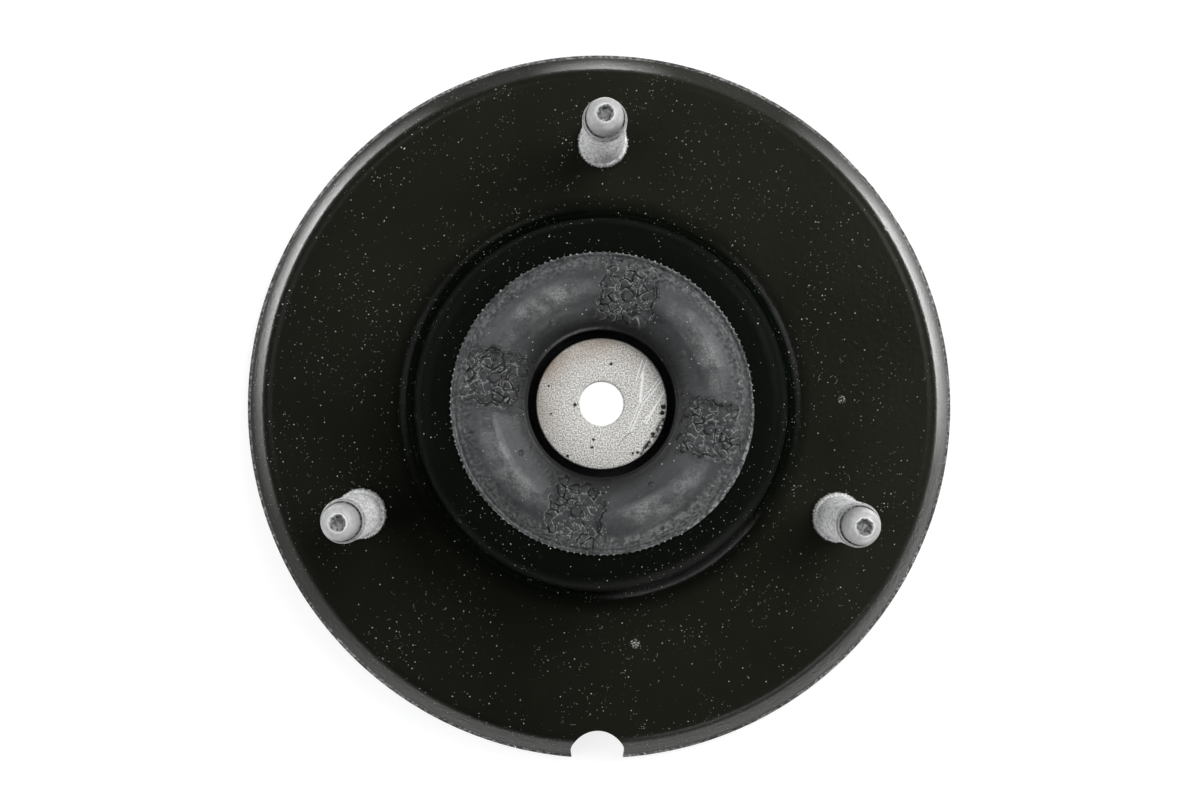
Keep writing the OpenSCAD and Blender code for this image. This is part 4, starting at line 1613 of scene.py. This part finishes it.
    def serrations(self) -> bpy.types.Object:
        """Makes the crinkled teeth around each shank."""
        scatter = Scatter("shank_teeth")
        graph = scatter.graph
        count = scatter.take("Count", self.teeth)
        radius = scatter.take("Radius", self.shank * MM)
        seed = scatter.take("Seed", self.seed)
        ring = graph.add("GeometryNodeMeshCircle", {"Vertices": count, "Radius": radius})
        block = graph.add("GeometryNodeMeshCube", {"Size": tuple(side * MM for side in self.tooth)})
        out = graph.add("GeometryNodeInputPosition").outputs[0]
        aim = graph.add("FunctionNodeAlignRotationToVector", {"Vector": out}, axis="X", pivot_axis="Z")
        scale = graph.random((0.3, 0.6, 0.55), (1.35, 1.5, 1.2), seed, "FLOAT_VECTOR")
        sockets = {
            "Points": ring.outputs[0],
            "Instance": block.outputs[0],
            "Rotation": aim.outputs[0],
            "Scale": scale,
        }
        crown = graph.add("GeometryNodeInstanceOnPoints", sockets).outputs[0]
        sockets = {"Points": scatter.carrier, "Instance": crown}
        grown = graph.add("GeometryNodeInstanceOnPoints", sockets).outputs[0]
        height = (self.seat + self.tooth[2] / 2.0) * MM
        feet = [(*mount(name)["pos_m"][:2], height) for name in self.names]
        return scatter.run(grown, points_only("shank_teeth", feet), self.torn)

    def dress(self, piece: bpy.types.Object, teeth: bpy.types.Object) -> None:
        """Plates the studs and their teeth, and hands them over."""
        for part, finish in ((piece, self.zinc), (teeth, self.torn)):
            cover(part, finish)
        hand_over(piece, Slot.ZINC, ["mounting_studs"])
        hand_over(teeth, Slot.ZINC)


@dataclass
class Lint:
    """Short pale fibres that lie on the plate's seat ring."""

    fibre: bpy.types.Material
    plate: MountingPlate
    density: float = 60000.0
    drift: float = 45.0
    gather: Point = (0.48, 0.68)
    bends: tuple[float, ...] = (0.06, 0.4, -0.9)
    segments: int = 96
    thickness: float = 0.018
    length: float = 1.0
    clear: float = 0.06
    seed: int = 11

    def carrier(self) -> bpy.types.Object:
        """A flat ring just over the seat, for the fibres to lie on."""
        height = self.plate.seat + self.clear
        low, high = self.plate.crown_base + 0.5, self.plate.flat_edge - 0.5
        return flat_ring("lint_fibres", low, high, height, self.segments)

    def strand(self, graph: Graph, bend: float, thick: Any) -> bpy.types.NodeSocket:
        """One fibre as an instance.

        Args:
            graph: The tree's graph.
            bend: How far its middle stands off its chord, as a share of its length.
            thick: Radius of the fibre.

        Returns:
            The instance's socket.
        """
        long = self.length * MM
        sockets = {
            "Start": (-0.5 * long, 0.0, 0.0),
            "Middle": (0.0, bend * long, 0.0),
            "End": (0.5 * long, 0.15 * bend * long, 0.0),
            "Resolution": 6,
        }
        path = graph.add("GeometryNodeCurveQuadraticBezier", sockets)
        ring = graph.add("GeometryNodeCurvePrimitiveCircle", {"Resolution": 4, "Radius": thick})
        sockets = {"Curve": path.outputs[0], "Profile Curve": ring.outputs[0], "Fill Caps": True}
        tube = graph.add("GeometryNodeCurveToMesh", sockets)
        return graph.add("GeometryNodeGeometryToInstance", {"Geometry": tube.outputs[0]}).outputs[0]

    def build(self) -> bpy.types.Object:
        """Scatters the fibres."""
        scatter = Scatter("lint_fibres")
        graph = scatter.graph
        density = scatter.take("Density", self.density)
        thick = scatter.take("Thickness", self.thickness * MM)
        seed = scatter.take("Seed", self.seed)
        drift = graph.noise(graph.add("GeometryNodeInputPosition").outputs[0], self.drift)
        crowd = graph.times(density, graph.span(drift, *self.gather))
        sockets = {"Mesh": scatter.carrier, "Density": crowd, "Seed": seed}
        spread = graph.add("GeometryNodeDistributePointsOnFaces", sockets).outputs["Points"]
        shapes = graph.add("GeometryNodeJoinGeometry")
        for bend in self.bends:
            graph.feed(shapes.inputs[0], self.strand(graph, bend, thick))
        spin = graph.random((0.0, 0.0, 0.0), (0.0, 0.0, 2.0 * math.pi), seed, "FLOAT_VECTOR")
        sockets = {
            "Points": spread,
            "Instance": shapes.outputs[0],
            "Pick Instance": True,
            "Instance Index": graph.random(0, len(self.bends) - 1, seed, "INT"),
            "Rotation": spin,
            "Scale": graph.random((0.2, 0.2, 0.7), (1.4, 1.4, 1.1), seed, "FLOAT_VECTOR"),
        }
        grown = graph.add("GeometryNodeInstanceOnPoints", sockets).outputs[0]
        return scatter.run(grown, self.carrier(), self.fibre)

    def dress(self, piece: bpy.types.Object) -> None:
        """Hands the fibres over."""
        cover(piece, self.fibre)
        hand_over(piece, Slot.PAINT)


@dataclass
class Softbox:
    """A soft rectangular lamp that faces the mount."""

    name: str
    place: Spot
    aim: Spot
    width: float
    depth: float
    radiance: float
    reach: Reach = Reach.ALL
    tint: Spot = (1.0, 1.0, 1.0)

    def build(self) -> None:
        """Makes the lamp, hidden from the camera."""
        lamp = bpy.data.lights.new(self.name, "AREA")
        lamp.shape = "RECTANGLE"
        lamp.size = self.width
        lamp.size_y = self.depth
        lamp.energy = self.radiance * math.pi * self.width * self.depth
        lamp.color = self.tint
        stand = bpy.data.objects.new(self.name, lamp)
        stand.location = self.place
        stand.rotation_euler = (Vector(self.aim) - Vector(self.place)).to_track_quat("-Z", "Y").to_euler()
        stand.visible_camera = False
        stand.visible_glossy = self.reach is not Reach.MATT
        stand.visible_diffuse = self.reach is not Reach.GLOSS
        bpy.context.scene.collection.objects.link(stand)


@dataclass
class Studio:
    """Pale floor, soft light and the camera over the mount."""

    seat: float
    camera_over: Spot = (-4.6, -4.95, 334.0)
    look_at: Point = (-0.19, 1.21)
    roll: float = 0.5
    lens: float = 42.03
    sensor: float = 36.0
    floor_half: float = 3.0
    floor_albedo: float = 0.3
    floor_glow: float = 0.8
    bore_light_from: float = 0.03
    bore_light_to: float = 0.039
    far_from: float = 0.4
    far_to: float = 1.0
    horizon: float = 0.05
    zenith: float = 0.03
    sky_from: float = 0.12
    sky_to: float = 0.55
    glow_from: float = 86.5
    glow_to: float = 103.0
    glow_height: float = 0.4
    glow_segments: int = 180
    glow_step: Point = (91.1, 92.4)
    glow_fade: float = 95.0
    glow_full: float = 17.0
    glow_end: float = 0.4
    glow_around: tuple[Spot, ...] = (
        (0, 0.5, 0.16),
        (12, 0.95, 0.1),
        (32, 1.0, 0.12),
        (45, 0.3, 0.08),
        (58, 0.015, 0.02),
        (78, 0.03, 0.02),
        (90, 0.6, 0.03),
        (102, 0.04, 0.02),
        (118, 0.02, 0.02),
        (132, 0.4, 0.02),
        (145, 0.95, 0.01),
        (160, 0.8, 0.01),
        (182, 0.24, 0.015),
        (200, 0.05, 0.03),
        (215, 0.03, 0.05),
        (240, 0.06, 0.09),
        (300, 0.06, 0.09),
        (322, 0.01, 0.12),
        (338, 0.01, 0.13),
        (350, 0.08, 0.13),
        (360, 0.5, 0.16),
    )

    def build(self) -> None:
        """Sets up the view, the floor, the world, the lamps and the camera."""
        bpy.context.scene.view_settings.view_transform = "Standard"
        self.build_floor()
        self.build_glow()
        self.build_world()
        self.build_camera()
        for lamp in self.lamps():
            lamp.build()

    def lamps(self) -> list[Softbox]:
        """The lamps: key at the upper right, low left fill, side and front boxes, cards for gloss only."""
        centre = (0.0, 0.0, 0.025)
        cool = (0.94, 0.97, 1.0)
        return [
            Softbox("key_box", (0.58, 0.56, 0.62), centre, 0.8, 0.5, 7.2, Reach.MATT),
            Softbox("left_fill", (-0.66, -0.24, 0.3), centre, 0.5, 0.4, 4.0, Reach.MATT),
            Softbox("left_sheen", (-0.23, 0.39, 0.5), centre, 0.22, 0.22, 2.5, Reach.GLOSS),
            Softbox("right_sheen", (0.4, 0.2, 0.5), centre, 0.22, 0.22, 4.5, Reach.GLOSS),
            Softbox("left_box", (-0.6, 0.16, 0.62), centre, 0.5, 0.5, 2.2, Reach.ALL, cool),
            Softbox("right_box", (0.6, 0.2, 0.62), centre, 0.5, 0.5, 2.2, Reach.ALL, cool),
            Softbox("front_box", (0.1, -0.75, 0.62), centre, 0.5, 0.4, 2.2, Reach.MATT),
            Softbox("front_card", (0.26, -0.46, 0.12), centre, 0.45, 0.14, 6.0, Reach.GLOSS),
        ]

    def build_glow(self) -> None:
        """Makes a ring of light on the floor, for reflections only: the bright table beside the skirt."""
        glow = flat_ring("table_glow", self.glow_from, self.glow_to, self.glow_height, self.glow_segments)
        material, graph = bare_material("table_glow")
        where = graph.add("ShaderNodeTexCoord").outputs["Object"]
        flat = graph.parts(where)
        turn = graph.math("DIVIDE", graph.math("ARCTAN2", flat["Y"], flat["X"]), 2.0 * math.pi)
        ramp = graph.add("ShaderNodeValToRGB", {0: graph.math("FRACT", turn)})
        stops = ramp.color_ramp.elements
        for angle, _, _ in self.glow_around[1:-1]:
            stops.new(angle / 360.0)
        for stop, (_, far, near) in zip(stops, self.glow_around):
            stop.color = (far, near, 0.0, 1.0)
        share = graph.add("ShaderNodeSeparateColor", {0: ramp.outputs["Color"]}).outputs
        reach = graph.vector("LENGTH", where).outputs["Value"]
        out = graph.ramp(reach, self.glow_step)
        level = graph.add("ShaderNodeMix", {0: out, 2: share[1], 3: share[0]}).outputs[0]
        ends = (self.glow_full, self.glow_end * self.glow_full)
        fade = graph.ramp(reach, (self.glow_fade, self.glow_to), ends)
        strength = graph.times(level, fade)
        lit = graph.add("ShaderNodeEmission", {"Color": grey(1.0), "Strength": strength})
        graph.add("ShaderNodeOutputMaterial", {"Surface": lit.outputs[0]})
        cover(glow, material)
        glow.visible_camera = False
        glow.visible_diffuse = False
        glow.visible_shadow = False

    def build_floor(self) -> None:
        """Makes the white floor, which keeps the mount's shadow, except near the axis, where painted light
        glows full white under the hub's bore.
        """
        half = self.floor_half
        corners = [(-half, -half, 0.0), (half, -half, 0.0), (half, half, 0.0), (-half, half, 0.0)]
        mesh = bpy.data.meshes.new("floor")
        mesh.from_pydata(corners, [], [(0, 1, 2, 3)])
        floor = bpy.data.objects.new("floor", mesh)
        bpy.context.scene.collection.objects.link(floor)
        material, graph = bare_material("white_floor")
        rays = graph.add("ShaderNodeLightPath").outputs
        seen = graph.most(rays["Is Camera Ray"], rays["Is Glossy Ray"], rays["Is Transmission Ray"])
        where = graph.add("ShaderNodeTexCoord").outputs["Object"]
        reach = graph.vector("LENGTH", where).outputs["Value"]
        # Painted light: full white within 30 mm of the axis, fading to the floor's glow by 39 mm, hides the
        # shadow under the hub's bore.
        glow = graph.span(reach, self.bore_light_from, self.bore_light_to, (1.0, self.floor_glow))
        far = graph.span(reach, self.far_from, self.far_to, (0.0, 1.0 - self.floor_glow))
        glow = graph.math("MULTIPLY_ADD", far, rays["Is Camera Ray"], glow)
        paper = graph.add("ShaderNodeBsdfDiffuse", {"Color": grey(self.floor_albedo)})
        lit = graph.add("ShaderNodeEmission", {"Color": grey(1.0), "Strength": graph.times(glow, seen)})
        both = graph.add("ShaderNodeAddShader", {0: paper.outputs[0], 1: lit.outputs[0]})
        graph.add("ShaderNodeOutputMaterial", {"Surface": both.outputs[0]})
        mesh.materials.append(material)

    def build_world(self) -> None:
        """Makes a dim room that pales towards the horizon and is white to the camera."""
        world = bpy.data.worlds.new("room")
        world.use_nodes = True
        bpy.context.scene.world = world
        graph = Graph(world.node_tree)
        where = graph.add("ShaderNodeTexCoord").outputs["Generated"]
        height = graph.parts(where)["Z"]
        strength = graph.span(height, self.sky_from, self.sky_to, (self.horizon, self.zenith))
        sky = world.node_tree.nodes["Background"]
        sky.inputs["Color"].default_value = grey(1.0)
        rays = graph.add("ShaderNodeLightPath").outputs
        graph.feed(sky.inputs["Strength"], graph.most(strength, rays["Is Camera Ray"]))

    def build_camera(self) -> None:
        """Puts the camera over the mount, with +Y up in the picture."""
        lens = bpy.data.cameras.new("camera")
        lens.sensor_fit = "HORIZONTAL"
        lens.sensor_width = self.sensor
        lens.lens = self.lens
        lens.clip_start = 0.01
        camera = bpy.data.objects.new("camera", lens)
        bpy.context.scene.collection.objects.link(camera)
        eye = Vector((self.camera_over[0], self.camera_over[1], self.seat + self.camera_over[2])) * MM
        target = Vector((self.look_at[0], self.look_at[1], self.seat)) * MM
        back = (eye - target).normalized()
        right = Vector((0.0, 1.0, 0.0)).cross(back).normalized()
        up = back.cross(right)
        turn = Matrix((right, up, back)).transposed()
        roll = Matrix.Rotation(math.radians(self.roll), 4, "Z")
        camera.matrix_world = Matrix.Translation(eye) @ turn.to_4x4() @ roll
        bpy.context.scene.camera = camera


def main() -> None:
    """Builds every piece in order and dresses it."""
    logging.basicConfig(level=logging.INFO, format="%(name)s: %(message)s")
    effects = Effects()
    plate = MountingPlate(GlossPaint(effects).build())
    Studio(plate.seat).build()
    plate.dress(plate.build())
    dish = RetainerDish(DipCoat(effects).build())
    dish.dress(dish.build())
    bush = RubberBush(MouldedRubber(effects).build(), plate)
    bush.dress(bush.build(), bush.beads(), bush.film())
    hub = HubInsert(BlastedSteel(effects).build())
    hub.dress(hub.build())
    torn = DullZinc(effects, "torn_zinc", grey(0.9), grey(0.2))
    studs = MountingStuds(DullZinc(effects).build(), torn.build(), plate.seat, plate.sheet)
    studs.dress(studs.build(), studs.serrations())
    lint = Lint(PaleFibre(effects).build(), plate)
    lint.dress(lint.build())


if __name__ == "__main__":
    main()
